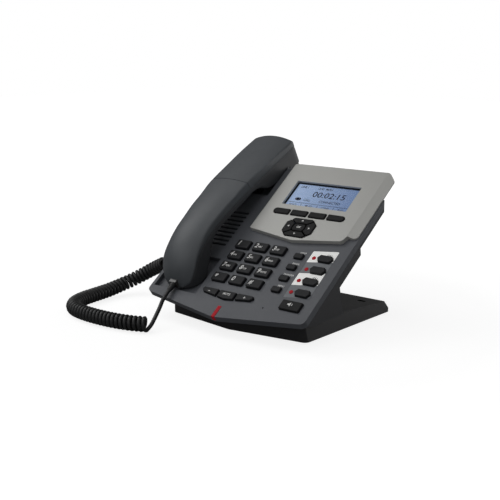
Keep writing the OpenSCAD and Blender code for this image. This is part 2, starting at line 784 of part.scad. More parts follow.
// Plunger that the handset's ear end holds down
module hook_switch() {
    flange_top = -tub_bottom - hook_travel - 0.3;
    color("#202022") on_panel() {
        at([handset_x, hook_v]) difference() {
            translate([0, 0, flange_top - skin]) linear_extrude(10 - flange_top) square(hook_size, center = true);
            translate([0, 0, hook_top]) rotate([ear_slope, 0, 0]) translate([-20, -20, 0]) cube([40, 40, 30]);
        }
        at([handset_x, hook_v], flange_top - 1.2) linear_extrude(1.2)
            square(hook_size + [2, 2], center = true);
    }
}

module rear_sockets() {
    color("#3a3a3c") on_desk() {
        for (x = network_x) translate([x, wedge_rear_y - case_wall - seam, socket_floor]) difference() {
            block([-network_size[0] / 2, -network_size[1], 0], [network_size[0] / 2, 0, network_size[2]]);
            block([-network_mouth[0] / 2, -network_mouth[1], 2.6],
                  [network_mouth[0] / 2, 1, 2.6 + network_mouth[2]]);
        }
        translate([power_x, wedge_rear_y - case_wall - seam, socket_floor]) {
            difference() {
                block([-power_size[0] / 2, -power_size[1], 0], [power_size[0] / 2, 0, power_size[2]]);
                translate([0, 1, power_size[2] / 2]) rotate([90, 0, 0]) cylinder(r = power_bore, h = 11);
            }
            translate([0, -0.5, power_size[2] / 2]) rotate([90, 0, 0]) cylinder(r = 0.9, h = 10);
        }
    }
}

module handset_jack() {
    color("#2b2b2d") on_desk() translate([-side_x, jack_y, jack_z]) difference() {
        block([0.2, -jack_size[1] / 2, -jack_size[2] / 2], [jack_size[0], jack_size[1] / 2, jack_size[2] / 2]);
        block([-1, -plug_size[1] / 2 - 0.1, -plug_size[2] / 2 - 0.1],
              [plug_size[0] - 1, plug_size[1] / 2 + 0.1, plug_size[2] / 2 + 0.1]);
    }
}

module screw() {
    cylinder(r = screw_head_radius, h = screw_head_height);
    cylinder(r = screw_radius, h = screw_head_height + screw_length);
}

module case_screws() {
    color("#b8b8b8") {
        on_panel() for (p = case_screw_places) at(p, -side_depth_at(p[1]) + 0.2)
            intersection() {
                screw();
                cylinder(r = 10, h = side_depth_at(p[1]) - 1.7);
            }
        on_desk() for (p = stand_screw_places)
            translate([p[0], p[1], seat_height - stand_wall - screw_head_height]) screw();
    }
}

// Footprint of the stand
module stand_outline(inset = 0) {
    w = stand_width / 2;
    offset(delta = -inset) offset(r = 5, $fn = 16) offset(delta = -5) polygon([
        [0, stand_front], [w, stand_front + bow(w)], [w, stand_rear], [-w, stand_rear],
        [-w, stand_front + bow(w)]]);
}

module stand_solid(inset = 0) {
    w = stand_width / 2;
    lean = 2.5;
    low = foot_proud;
    intersection() {
        translate([0, 0, -inset]) linear_extrude(60) stand_outline(inset);
        union() {
            across(stand_width) offset(delta = -inset) polygon([
                [0, low - 2 * inset], [0, stand_height], [wedge_rear_y, stand_height],
                [stand_rear - 9, stand_rear_height], [stand_rear, low], [stand_rear, low - 2 * inset]]);
            block([-62 + inset, 34 + inset, low], [62 - inset, wedge_rear_y - 4 - inset, seat_height - inset]);
        }
        translate([0, 0, 0]) rotate([90, 0, 0]) translate([0, 0, -far / 2]) linear_extrude(far)
            offset(delta = -inset) polygon([
                [-w, low - 2 * inset], [-w + lean, seat_height + 1], [w - lean, seat_height + 1], [w, low - 2 * inset]]);
    }
}

module stand_base() {
    color("#242527") on_desk() difference() {
        union() {
            difference() {
                stand_solid();
                stand_solid(stand_wall);
            }
            // Columns above the feet, and long ribs
            intersection() {
                stand_solid();
                union() {
                    for (p = foot_places) translate([p[0], p[1], 0]) cylinder(r = foot_radius + 2, h = far);
                    for (x = [-30, 0, 30]) block([x - 1, 0, foot_proud + 2], [x + 1, far, far]);
                }
            }
        }
        for (p = foot_places) translate([p[0], p[1], -1]) cylinder(r = foot_radius + 0.2, h = 1 + foot_thickness);
        for (p = stand_screw_places) translate([p[0], p[1], -1]) cylinder(r = screw_radius + 0.2, h = 60);
        for (s = [-1, 1]) translate([s * wall_slot_spacing / 2, wall_slot_y, -1]) {
            straight = wall_slot_length - wall_slot_width;
            for (e = [-1, 1]) translate([e * straight / 2, 0, 0]) cylinder(r = wall_slot_width / 2, h = 60);
            translate([-straight / 2, -wall_slot_width / 2, 0]) cube([straight, wall_slot_width, 60]);
        }
    }
}

wall_slot_y = stand_rear - 24;
foot_radius = 7;
foot_places = [[-60, 48], [60, 48], [-42, stand_rear - 20], [42, stand_rear - 20]];

module stand_feet() {
    color("#1a1a1a") on_desk() for (p = foot_places) translate([p[0], p[1], 0]) cylinder(r = foot_radius, h = foot_thickness);
}

// Side profile of the handset, s along it and h out of the panel
module handset_profile() {
    polygon(concat(back_line(0), handset_underside));
}

// The handset's back, with its underside dropped out of the way
module back_profile_down() {
    polygon(concat(back_line(0), [[handset_length - 1, -60], [0, -60]]));
}

module handset_plan(inset = 0) {
    ear = handset_width / 2;
    mouth = handset_mouth_width / 2;
    taper_end = handset_length - 60;
    offset(delta = -inset) union() {
        translate([0, 30]) offset(r = 18, $fn = 32) square([2 * mouth - 36, 60 - 36], center = true);
        translate([0, handset_length - 30]) rounded([2 * ear, 60], ear_corner);
        polygon([[mouth, 30], [ear, taper_end], [ear, handset_length - 20],
                 [-ear, handset_length - 20], [-ear, taper_end], [-mouth, 30]]);
    }
}

// Cross section with leaning sides, drawn in u and h
module handset_section(inset = 0) {
    base = handset_width / 2;
    back = handset_back_width / 2;
    offset(delta = -inset) polygon([
        [base, -30], [base, 0], [back, lean_height], [back - (base - back), 2 * lean_height],
        [-back + (base - back), 2 * lean_height], [-back, lean_height], [-base, 0], [-base, -30]]);
}

// The back's profile is repeated at small turns about the crown's axis, which crowns the back
module handset_solid(inset = 0) {
    intersection() {
        across(handset_width) offset(delta = -inset) handset_profile();
        intersection_for (turn = back_turns)
            rotate([-crown_fall, 0, 0]) rotate([0, turn, 0]) rotate([crown_fall, 0, 0])
                across(2 * far) offset(delta = -inset) back_profile_down();
        translate([0, 0, -50]) linear_extrude(150) handset_plan(inset);
        translate([0, handset_length + 20, 0]) rotate([90, 0, 0]) linear_extrude(handset_length + 40)
            handset_section(inset);
    }
}

module on_handset() {
    on_panel() translate([handset_x, handset_start, 0]) children();
}

module handset_shell() {
    difference() {
        handset_solid();
        handset_solid(handset_wall);
    }
}

// Everything above the line where the handset's two covers meet
module above_parting() {
    across(handset_width + 10) polygon(concat(
        [[-50, -1 - handset_parting]], back_line(handset_parting),
        [[handset_length + 50, 17 - handset_parting], [handset_length + 50, 80], [-50, 80]]));
}

module handset_plug_room(grow = 0) {
    block([-plug_size[1] / 2 - grow, -1, 1.2 - grow], [plug_size[1] / 2 + grow, plug_size[0] + grow, 1.2 + plug_size[2] + grow]);
}

module handset_back_cover() {
    color("#54585c") on_handset() difference() {
        intersection() {
            handset_shell();
            above_parting();
        }
        handset_plug_room(0.15);
    }
}

module handset_front_cover() {
    hole_ring = [for (a = [0:60:300]) [5 * cos(a), 5 * sin(a)]];
    color("#3f4144") on_handset() difference() {
        handset_shell();
        above_parting();
        handset_plug_room(0.15);
        translate([0, ear_start[0], ear_start[1]]) rotate([ear_slope, 0, 0])
            for (p = concat([[0, 0]], hole_ring)) translate([p[0], receiver_along + p[1], -5]) cylinder(r = 1, h = 10);
        for (x = [-4, 0, 4]) translate([x, mic_along, -10]) cylinder(r = 0.8, h = 10);
    }
}

receiver_along = 22;
receiver_radius = 13;
mic_along = 12.5;

module earpiece_receiver() {
    color("#a0a0a0") on_handset() translate([0, ear_start[0], ear_start[1]]) rotate([ear_slope, 0, 0])
        translate([0, receiver_along, handset_wall + seam]) cylinder(r = receiver_radius, h = 6);
}

module handset_microphone() {
    color("#a0a0a0") on_handset() translate([0, mic_along + 1, -mouth_depth + handset_wall + seam]) cylinder(r = 3, h = 2.4);
}

module handset_weight() {
    color("#8c8f93") on_handset() block([-12, 72, 20], [12, 98, 25]);
}

module handset_plug() {
    color("#d8d8d0") on_handset() handset_plug_room();
}

module base_plug() {
    color("#d8d8d0") on_desk() translate([-side_x, jack_y, jack_z])
        block([-2.5, -plug_size[1] / 2, -plug_size[2] / 2], [plug_size[0] - 2.5, plug_size[1] / 2, plug_size[2] / 2]);
}

// A tube along a route, one ring of points at each of the route's points
function unit(v) = v / norm(v);
function heading(route, i) =
    unit(route[min(i + 1, len(route) - 1)] - route[max(i - 1, 0)]);
function ring(centre, along, radius, sides) =
    let (side = unit(cross(along, [0.13, 0.11, 1])), rise = cross(side, along))
    [for (k = [0:sides - 1]) centre + radius * (cos(360 * k / sides) * side + sin(360 * k / sides) * rise)];

module tube(route, radius, sides) {
    last = len(route) - 1;
    points = [for (i = [0:last]) each ring(route[i], heading(route, i), radius, sides)];
    walls = [for (i = [0:last - 1]) for (k = [0:sides - 1])
        let (a = i * sides + k, b = i * sides + (k + 1) % sides)
        each [[a, b, b + sides], [a, b + sides, a + sides]]];
    ends = [[for (k = [0:sides - 1]) sides - 1 - k], [for (k = [0:sides - 1]) last * sides + k]];
    polyhedron(points, concat(walls, ends));
}

module cord_tails() {
    color("#1b1b1c") on_desk() {
        tube(handset_tail_route, wire_diameter / 2, 8);
        tube(base_tail_route, wire_diameter / 2, 8);
    }
}

module curly_cord() {
    color("#1b1b1c") on_desk() tube(coil_route, coil_diameter / 2, 12);
}

stand_base();
stand_feet();
rear_case();
top_case();
display_bezel();
display_lens();
lcd_module();
main_board();
key_mat();
label_card();
line_lamps();
message_lamp();
loudspeaker();
base_microphone();
hook_switch();
rear_sockets();
handset_jack();
case_screws();
for (i = [0:11]) dial_key(i);
for (i = [0:2]) volume_key(i);
speaker_key();
for (i = [0:3]) function_key(i);
for (i = [0:3]) line_key(i);
for (i = [0:3]) soft_key(i);
for (i = [0:3]) nav_key(i);
nav_ok();
handset_front_cover();
handset_back_cover();
earpiece_receiver();
handset_microphone();
handset_weight();
handset_plug();
base_plug();
cord_tails();
curly_cord();
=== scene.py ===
"""Looks of the desk telephone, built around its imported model.

Sizes named here are in millimetres and are turned into metres where the meshes are made.
Panel places use u (across), v (up the slope) and h (out of the panel face).
"""
import json
import logging
import math
from dataclasses import dataclass, field
from enum import Enum
from typing import Callable, Iterable, Optional, Sequence

import bmesh
import bpy
from mathutils import Matrix, Vector

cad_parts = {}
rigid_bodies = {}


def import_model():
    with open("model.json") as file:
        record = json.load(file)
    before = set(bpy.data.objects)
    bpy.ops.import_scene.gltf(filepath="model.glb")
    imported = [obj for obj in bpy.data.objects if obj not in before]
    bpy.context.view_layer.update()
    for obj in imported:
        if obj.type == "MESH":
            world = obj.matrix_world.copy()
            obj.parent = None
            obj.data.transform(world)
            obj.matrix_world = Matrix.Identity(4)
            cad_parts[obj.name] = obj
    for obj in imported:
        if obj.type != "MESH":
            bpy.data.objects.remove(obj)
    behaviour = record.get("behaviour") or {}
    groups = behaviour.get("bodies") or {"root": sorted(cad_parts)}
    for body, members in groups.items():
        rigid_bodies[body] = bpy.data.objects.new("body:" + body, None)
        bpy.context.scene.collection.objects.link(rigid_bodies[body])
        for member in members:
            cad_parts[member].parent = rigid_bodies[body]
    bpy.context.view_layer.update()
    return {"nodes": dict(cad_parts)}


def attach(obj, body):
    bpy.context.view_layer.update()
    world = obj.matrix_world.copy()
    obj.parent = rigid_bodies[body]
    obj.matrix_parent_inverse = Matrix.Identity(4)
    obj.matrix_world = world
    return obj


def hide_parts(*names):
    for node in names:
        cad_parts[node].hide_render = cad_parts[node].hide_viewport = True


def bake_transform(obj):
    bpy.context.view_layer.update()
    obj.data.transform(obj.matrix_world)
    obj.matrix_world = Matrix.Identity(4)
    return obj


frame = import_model()

MM = 0.001
Point = tuple[float, float, float]
Flat = tuple[float, float]
log = logging.getLogger("telephone")


# ---------------------------------------------------------------- places


@dataclass(frozen=True)
class Panel:
    """The sloping key panel's place in the row frame."""

    tilt: float = math.radians(36.5)
    middle_y: float = 86.3985
    front_height: float = 16.8

    @property
    def matrix(self) -> Matrix:
        """Turns panel places, in millimetres, into the row frame, in metres."""
        slope = Matrix.Rotation(self.tilt, 4, "X")
        lift = Matrix.Translation((0, -self.middle_y, self.front_height))
        return Matrix.Scale(MM, 4) @ lift @ slope

    def point(self, u: float, v: float, h: float) -> Vector:
        """The row-frame place of a panel place."""
        return self.matrix @ Vector((u, v, h))


PANEL = Panel()


def on_desk(point: Point) -> Vector:
    """The row-frame place of a point measured from the body's front point, in millimetres."""
    return Vector((point[0] * MM, (point[1] - PANEL.middle_y) * MM, point[2] * MM))


def srgb(red: float, green: float, blue: float) -> tuple[float, float, float, float]:
    """A display colour, 0 to 255, as the linear colour that a shader takes."""

    def linear(value: float) -> float:
        """One channel."""
        part = value / 255
        return part / 12.92 if part <= 0.04045 else ((part + 0.055) / 1.055) ** 2.4

    return (linear(red), linear(green), linear(blue), 1.0)


# ---------------------------------------------------------------- node helpers


class Graph:
    """A thin wrapper that makes and joins the nodes of one tree."""

    def __init__(self, tree: bpy.types.NodeTree) -> None:
        """Keeps the tree, emptied."""
        self.tree = tree
        tree.nodes.clear()

    def add(self, kind: str, **settings: object) -> bpy.types.Node:
        """Makes a node.

        Args:
            kind: The node's type name.
            **settings: Properties of the node, or values of its inputs by name with _ for spaces.

        Returns:
            The new node.
        """
        node = self.tree.nodes.new(kind)
        for key, value in settings.items():
            if hasattr(node, key):
                setattr(node, key, value)
            else:
                node.inputs[key.replace("_", " ")].default_value = value
        return node

    def join(self, source: bpy.types.NodeSocket, target: bpy.types.NodeSocket) -> None:
        """Links an output to an input."""
        self.tree.links.new(source, target)

    def math(self, operation: str, first: object, second: object = 0.0) -> bpy.types.NodeSocket:
        """A Math node on two sockets or numbers, and its output."""
        node = self.add("ShaderNodeMath", operation=operation)
        for index, value in enumerate((first, second)):
            if isinstance(value, bpy.types.NodeSocket):
                self.join(value, node.inputs[index])
            else:
                node.inputs[index].default_value = value
        return node.outputs[0]

    def mix(self, factor: object, first: object, second: object) -> bpy.types.NodeSocket:
        """A colour mix of two sockets or colours, and its output."""
        node = self.add("ShaderNodeMix", data_type="RGBA")
        for index, value in ((0, factor), (6, first), (7, second)):
            if isinstance(value, bpy.types.NodeSocket):
                self.join(value, node.inputs[index])
            else:
                node.inputs[index].default_value = value
        return node.outputs[2]

    def span(self, value: bpy.types.NodeSocket, low: float, high: float) -> bpy.types.NodeSocket:
        """Maps a value of 0 to 1 onto low to high."""
        node = self.add("ShaderNodeMapRange", To_Min=low, To_Max=high)
        self.join(value, node.inputs["Value"])
        return node.outputs["Result"]


def shader_group(name: str, inputs: dict[str, float], outputs: Sequence[str]) -> tuple[Graph, dict, dict]:
    """Makes an empty shader node group of plain numbers.

    Args:
        name: The group's name.
        inputs: Each input's name and first value.
        outputs: The outputs' names.

    Returns:
        The group's graph, its input sockets and its output sockets, by name.
    """
    tree = bpy.data.node_groups.new(name, "ShaderNodeTree")
    for key, value in inputs.items():
        socket = tree.interface.new_socket(key, in_out="INPUT", socket_type="NodeSocketFloat")
        socket.default_value = value
    for key in outputs:
        tree.interface.new_socket(key, in_out="OUTPUT", socket_type="NodeSocketFloat")
    graph = Graph(tree)
    inside = graph.add("NodeGroupInput")
    outside = graph.add("NodeGroupOutput")
    return (
        graph,
        {key: inside.outputs[key] for key in inputs},
        {key: outside.inputs[key] for key in outputs},
    )


def moulded_grain() -> bpy.types.NodeTree:
    """The spark-eroded grain of moulded plastic: fine pebbles, and broad blotches in its gloss."""
    found = bpy.data.node_groups.get("moulded_grain")
    if found:
        return found
    graph, inside, outside = shader_group(
        "moulded_grain", {"Pebble Scale": 900.0, "Blotch Scale": 45.0}, ("Height", "Blotch", "Speck")
    )
    place = graph.add("ShaderNodeTexCoord").outputs["Object"]
    pebble = graph.add("ShaderNodeTexVoronoi", feature="SMOOTH_F1")
    noise = graph.add("ShaderNodeTexNoise", Detail=4.0, Roughness=0.6)
    blotch = graph.add("ShaderNodeTexNoise", Detail=3.0, Roughness=0.55)
    for node, scale in ((pebble, "Pebble Scale"), (noise, "Pebble Scale"), (blotch, "Blotch Scale")):
        graph.join(place, node.inputs["Vector"])
        graph.join(inside[scale], node.inputs["Scale"])
    height = graph.math("ADD", graph.math("MULTIPLY", pebble.outputs["Distance"], 0.6), noise.outputs[0])
    graph.join(height, outside["Height"])
    graph.join(blotch.outputs[0], outside["Blotch"])
    raised = graph.math("SUBTRACT", noise.outputs[0], 0.45)
    graph.join(graph.math("SMOOTH_MAX", raised, 0.0), outside["Speck"])
    return graph.tree


def settled_dust() -> bpy.types.NodeTree:
    """A faint dust on faces that look up, broken into patches."""
    found = bpy.data.node_groups.get("settled_dust")
    if found:
        return found
    graph, inside, outside = shader_group("settled_dust", {"Amount": 0.05, "Patch Scale": 140.0}, ("Mask",))
    place = graph.add("ShaderNodeTexCoord").outputs["Object"]
    patch = graph.add("ShaderNodeTexNoise", Detail=5.0, Roughness=0.7)
    graph.join(place, patch.inputs["Vector"])
    graph.join(inside["Patch Scale"], patch.inputs["Scale"])
    normal = graph.add("ShaderNodeSeparateXYZ")
    graph.join(graph.add("ShaderNodeNewGeometry").outputs["Normal"], normal.inputs[0])
    up = graph.math("MAXIMUM", normal.outputs["Z"], 0.0)
    mask = graph.math("MULTIPLY", graph.math("MULTIPLY", up, patch.outputs[0]), inside["Amount"])
    graph.join(mask, outside["Mask"])
    return graph.tree


def group_node(graph: Graph, tree: bpy.types.NodeTree, **values: float) -> bpy.types.Node:
    """Places a node group in a material with its own values."""
    node = graph.add("ShaderNodeGroup")
    node.node_tree = tree
    for key, value in values.items():
        node.inputs[key.replace("_", " ")].default_value = value
    return node


# ---------------------------------------------------------------- finishes


@dataclass(frozen=True)
class Moulding:
    """A moulded plastic: its colour, gloss and grain.

    Attributes:
        name: The material's name.
        colour: Display colour, 0 to 255.
        roughness: Mean roughness.
        pebble: Scale of the grain, per metre.
        relief: Strength of the grain's bump.
        blotch: How far the broad blotches shift the colour.
        dust: Amount of dust on faces that look up.
        specular: Specular level.
        coat: Weight of a clear coat.
    """

    name: str
    colour: tuple[float, float, float]
    roughness: float = 0.5
    pebble: float = 900.0
    relief: float = 0.12
    blotch: float = 0.08
    dust: float = 0.05
    specular: float = 0.5
    coat: float = 0.0

    def tint(self, graph: Graph, grain: bpy.types.Node) -> bpy.types.NodeSocket:
        """The colour over the surface, before dust."""
        base = srgb(*self.colour)
        light = tuple(min(1.0, part * (1 + self.blotch)) for part in base[:3]) + (1.0,)
        dark = tuple(part * (1 - self.blotch) for part in base[:3]) + (1.0,)
        return graph.mix(grain.outputs["Blotch"], dark, light)

    def finish(self, graph: Graph, shader: bpy.types.Node, grain: bpy.types.Node) -> None:
        """Sets what a kind of plastic adds to the shader."""
        shader.inputs["Specular IOR Level"].default_value = self.specular
        shader.inputs["Coat Weight"].default_value = self.coat

    def material(self) -> bpy.types.Material:
        """The finished material, made once."""
        name = self.name + "_finish"
        found = bpy.data.materials.get(name)
        if found:
            return found
        material = bpy.data.materials.new(name)
        material.use_nodes = True
        graph = Graph(material.node_tree)
        shader = graph.add("ShaderNodeBsdfPrincipled")
        grain = group_node(graph, moulded_grain(), Pebble_Scale=self.pebble)
        dust = group_node(graph, settled_dust(), Amount=self.dust)
        colour = graph.mix(dust.outputs["Mask"], self.tint(graph, grain), srgb(196, 194, 190))
        graph.join(colour, shader.inputs["Base Color"])
        graph.join(
            graph.span(grain.outputs["Blotch"], max(0.02, self.roughness - 0.07), self.roughness + 0.07),
            shader.inputs["Roughness"],
        )
        bump = graph.add("ShaderNodeBump", Strength=self.relief, Distance=0.0002)
        graph.join(grain.outputs["Height"], bump.inputs["Height"])
        graph.join(bump.outputs["Normal"], shader.inputs["Normal"])
        self.finish(graph, shader, grain)
        output = graph.add("ShaderNodeOutputMaterial")
        graph.join(shader.outputs[0], output.inputs["Surface"])
        return material


@dataclass(frozen=True)
class Metal(Moulding):
    """A plated or brushed metal part."""

    metallic: float = 1.0

    def finish(self, graph: Graph, shader: bpy.types.Node, grain: bpy.types.Node) -> None:
        """Makes the shader metallic."""
        super().finish(graph, shader, grain)
        shader.inputs["Metallic"].default_value = self.metallic


@dataclass(frozen=True)
class SilverPaint(Moulding):
    """Plastic with a silver paint: fine flakes that catch the light."""

    def finish(self, graph: Graph, shader: bpy.types.Node, grain: bpy.types.Node) -> None:
        """Turns the flakes partly metallic."""
        super().finish(graph, shader, grain)
        graph.join(graph.span(grain.outputs["Speck"], 0.1, 0.75), shader.inputs["Metallic"])


@dataclass(frozen=True)
class Lamp(Moulding):
    """Tinted clear plastic in front of a small lamp."""

    glow: float = 0.08

    def finish(self, graph: Graph, shader: bpy.types.Node, grain: bpy.types.Node) -> None:
        """Adds a faint glow of the tint."""
        super().finish(graph, shader, grain)
        graph.join(self.tint(graph, grain), shader.inputs["Emission Color"])
        shader.inputs["Emission Strength"].default_value = self.glow


@dataclass(frozen=True)
class ClearLens(Moulding):
    """The clear window over the display."""

    def finish(self, graph: Graph, shader: bpy.types.Node, grain: bpy.types.Node) -> None:
        """Lets light through, all but a thin film."""
        super().finish(graph, shader, grain)
        shader.inputs["Alpha"].default_value = 0.1


@dataclass(frozen=True)
class DisplayCell(Moulding):
    """A lit liquid-crystal cell: a pale blue field with fine rows and columns of cells."""

    glow: float = 0.5

    def tint(self, graph: Graph, grain: bpy.types.Node) -> bpy.types.NodeSocket:
        """Blue field with a fine grid and a slightly paler left side."""
        place = graph.add("ShaderNodeTexCoord").outputs["Object"]
        turn = graph.add("ShaderNodeMapping")
        turn.inputs["Rotation"].default_value = (-PANEL.tilt, 0, 0)
        graph.join(place, turn.inputs["Vector"])
        axes = graph.add("ShaderNodeSeparateXYZ")
        graph.join(turn.outputs[0], axes.inputs[0])
        lines = []
        for axis in ("X", "Y"):
            wave = graph.math("FRACT", graph.math("MULTIPLY", axes.outputs[axis], 1900.0))
            lines.append(graph.math("LESS_THAN", wave, 0.14))
        grid = graph.math("MAXIMUM", *lines)
        paler = graph.add("ShaderNodeMapRange", From_Min=-0.008, From_Max=0.062, To_Min=1.0, To_Max=0.0)
        graph.join(axes.outputs["X"], paler.inputs["Value"])
        field_colour = graph.mix(paler.outputs[0], srgb(*self.colour), srgb(168, 190, 224))
        return graph.mix(graph.math("MULTIPLY", grid, 0.35), field_colour, srgb(78, 96, 128))

    def finish(self, graph: Graph, shader: bpy.types.Node, grain: bpy.types.Node) -> None:
        """Adds the back light."""
        super().finish(graph, shader, grain)
        graph.join(self.tint(graph, grain), shader.inputs["Emission Color"])
        shader.inputs["Emission Strength"].default_value = self.glow


@dataclass(frozen=True)
class LabelCard(Moulding):
    """The printed card behind the line keys: white and grey fields, divided by lines that climb
    to the right as the body's front edge does."""

    grey: tuple[float, float, float] = (104, 107, 111)
    climb: float = 0.16
    left_u: float = 54.0
    edges: tuple[float, float, float] = (48.9, 62.6, 75.4)
    # Strength of a painted glow on the card, which is no lamp.
    painted_glow: float = 0.16

    def tint(self, graph: Graph, grain: bpy.types.Node) -> bpy.types.NodeSocket:
        """White and grey fields in turn, from the place up the slope."""
        place = graph.add("ShaderNodeTexCoord").outputs["Object"]
        move = graph.add("ShaderNodeMapping")
        move.inputs["Location"].default_value = (0, PANEL.middle_y * MM, -PANEL.front_height * MM)
        turn = graph.add("ShaderNodeMapping")
        turn.inputs["Rotation"].default_value = (-PANEL.tilt, 0, 0)
        graph.join(place, move.inputs["Vector"])
        graph.join(move.outputs[0], turn.inputs["Vector"])
        axes = graph.add("ShaderNodeSeparateXYZ")
        graph.join(turn.outputs[0], axes.inputs[0])
        lean = graph.math("MULTIPLY", graph.math("SUBTRACT", axes.outputs["X"], self.left_u * MM), self.climb)
        level = graph.math("MULTIPLY", graph.math("SUBTRACT", axes.outputs["Y"], lean), 10.0)
        ramp = graph.add("ShaderNodeValToRGB")
        ramp.color_ramp.interpolation = "CONSTANT"
        stops = ramp.color_ramp.elements
        stops[0].color = srgb(*self.grey)
        for index, edge in enumerate(self.edges):
            stop = stops[1] if index == 0 else stops.new(edge / 100)
            stop.position = edge / 100
            stop.color = srgb(*self.colour) if index % 2 == 0 else srgb(*self.grey)
        graph.join(level, ramp.inputs[0])
        shade = graph.span(grain.outputs["Blotch"], 0.0, 0.06)
        return graph.mix(shade, ramp.outputs[0], srgb(120, 120, 118))

    def finish(self, graph: Graph, shader: bpy.types.Node, grain: bpy.types.Node) -> None:
        """Adds a faint painted glow of the card's own colours, which lifts it above what its lamps light."""
        super().finish(graph, shader, grain)
        graph.join(self.tint(graph, grain), shader.inputs["Emission Color"])
        shader.inputs["Emission Strength"].default_value = self.painted_glow


class Finish(Enum):
    """The telephone's finishes."""

    SLATE = Moulding("slate_plastic", (82, 85, 91), 0.52)
    REAR = Moulding("rear_plastic", (50, 51, 54), 0.5)
    STAND = Moulding("stand_plastic", (38, 38, 40), 0.48)
    HANDSET = Moulding("handset_plastic", (80, 84, 88), 0.46, relief=0.08)
    HANDSET_FRONT = Moulding("handset_front_plastic", (56, 58, 61), 0.5, relief=0.08)
    SILVER = SilverPaint("silver_plastic", (186, 186, 182), 0.42, 1400.0, 0.06, 0.03, 0.03)
    KEY = Moulding("key_plastic", (30, 31, 34), 0.55, relief=0.08, dust=0.02, specular=0.22)
    DARK_KEY = Moulding("dark_key_plastic", (36, 36, 37), 0.55, relief=0.08, dust=0.02, specular=0.12)
    LEGEND = Moulding("legend_print", (232, 232, 230), 0.5, relief=0.02, dust=0.0)
    GREY_LEGEND = Moulding("grey_legend_print", (120, 122, 125), 0.5, relief=0.02, dust=0.0)
    LENS = ClearLens("clear_lens", (30, 34, 42), 0.06, relief=0.0, dust=0.0)
    CELL = DisplayCell("display_cell", (112, 136, 178), 0.5, relief=0.0, dust=0.0, specular=0.05)
    SEGMENT = Moulding("display_segment", (30, 36, 62), 0.5, relief=0.0, dust=0.0, specular=0.05)
    MASK = Moulding("display_mask", (16, 18, 22), 0.35, dust=0.02)
    BOARD = Moulding("circuit_board", (30, 92, 54), 0.35, 500.0, 0.2, 0.2, 0.02)
    RUBBER = Moulding("keypad_rubber", (120, 123, 126), 0.7, 1500.0, 0.15)
    CARD = LabelCard("card", (252, 252, 250), 0.55, relief=0.03, dust=0.0)
    RED_LENS = Lamp("red_lens", (176, 12, 30), 0.4, relief=0.02, dust=0.0, specular=0.1)
    BLACK = Metal("black_metal", (30, 30, 32), 0.45, metallic=0.6)
    PART = Metal("part_metal", (168, 168, 166), 0.35)
    GOLD = Metal("contact_gold", (206, 168, 92), 0.25, dust=0.0)
    SOCKET = Moulding("socket_plastic", (34, 34, 36), 0.4)
    SCREW = Metal("screw_steel", (176, 176, 178), 0.3, dust=0.02)
    WEIGHT = Metal("weight_steel", (140, 142, 145), 0.5)
    PLUG = Moulding("plug_plastic", (58, 58, 56), 0.25, relief=0.02, coat=0.3)
    FOOT = Moulding("foot_rubber", (26, 26, 27), 0.8, 1500.0, 0.3)
    CORD = Moulding("cord_jacket", (27, 28, 29), 0.38, 1600.0, 0.05, 0.1, 0.03)


# ---------------------------------------------------------------- mesh helpers


def put(name: str, mesh: bpy.types.Mesh, finishes: Sequence[Finish], body: str,
        replaced: Sequence[str] = ()) -> bpy.types.Object:
    """Puts a finished mesh in the scene as a piece of the telephone.

    Args:
        name: The piece's name.
        mesh: Its mesh, in the row frame.
        finishes: Its finishes, in the order of the mesh's material indices.
        body: The body that it moves with.
        replaced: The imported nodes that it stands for.

    Returns:
        The new object.
    """
    mesh.name = name
    while mesh.materials:
        mesh.materials.pop(index=0)
    for finish in finishes:
        mesh.materials.append(finish.value.material())
    piece = bpy.data.objects.new(name, mesh)
    bpy.context.scene.collection.objects.link(piece)
    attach(piece, body)
    if replaced:
        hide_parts(*replaced)
    log.info("%s: %d faces on %s", name, len(mesh.polygons), body)
    return piece


def smooth(mesh: bpy.types.Mesh, angle: float = 32.0) -> bpy.types.Mesh:
    """Shades a mesh smooth, with sharp edges above an angle in degrees."""
    mesh.shade_smooth()
    mesh.set_sharp_from_angle(angle=math.radians(angle))
    return mesh


def to_mesh(bm: bmesh.types.BMesh, name: str, angle: float = 32.0) -> bpy.types.Mesh:
    """Turns a bmesh into a smooth mesh and frees it."""
    mesh = bpy.data.meshes.new(name)
    bm.to_mesh(mesh)
    bm.free()
    return smooth(mesh, angle)


def evaluated(obj: bpy.types.Object) -> bpy.types.Mesh:
    """The mesh that an object's modifiers make; the object itself is removed."""
    bpy.context.view_layer.update()
    graph = bpy.context.evaluated_depsgraph_get()
    mesh = bpy.data.meshes.new_from_object(obj.evaluated_get(graph))
    bpy.data.objects.remove(obj, do_unlink=True)
    return mesh


def even_normals(mesh: bpy.types.Mesh) -> bpy.types.Mesh:
    """The mesh with normals weighted by area, so that flat faces stay flat beside rounded edges."""
    obj = bpy.data.objects.new(mesh.name, mesh)
    bpy.context.scene.collection.objects.link(obj)
    modifier = obj.modifiers.new("weighted", "WEIGHTED_NORMAL")
    modifier.keep_sharp = True
    modifier.weight = 100
    return evaluated(obj)


def cad_copy(node: str) -> bmesh.types.BMesh:
    """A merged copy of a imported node's mesh, in the row frame."""
    bm = bmesh.new()
    bm.from_mesh(frame["nodes"][node].data)
    bmesh.ops.remove_doubles(bm, verts=bm.verts, dist=2e-6)
    return bm


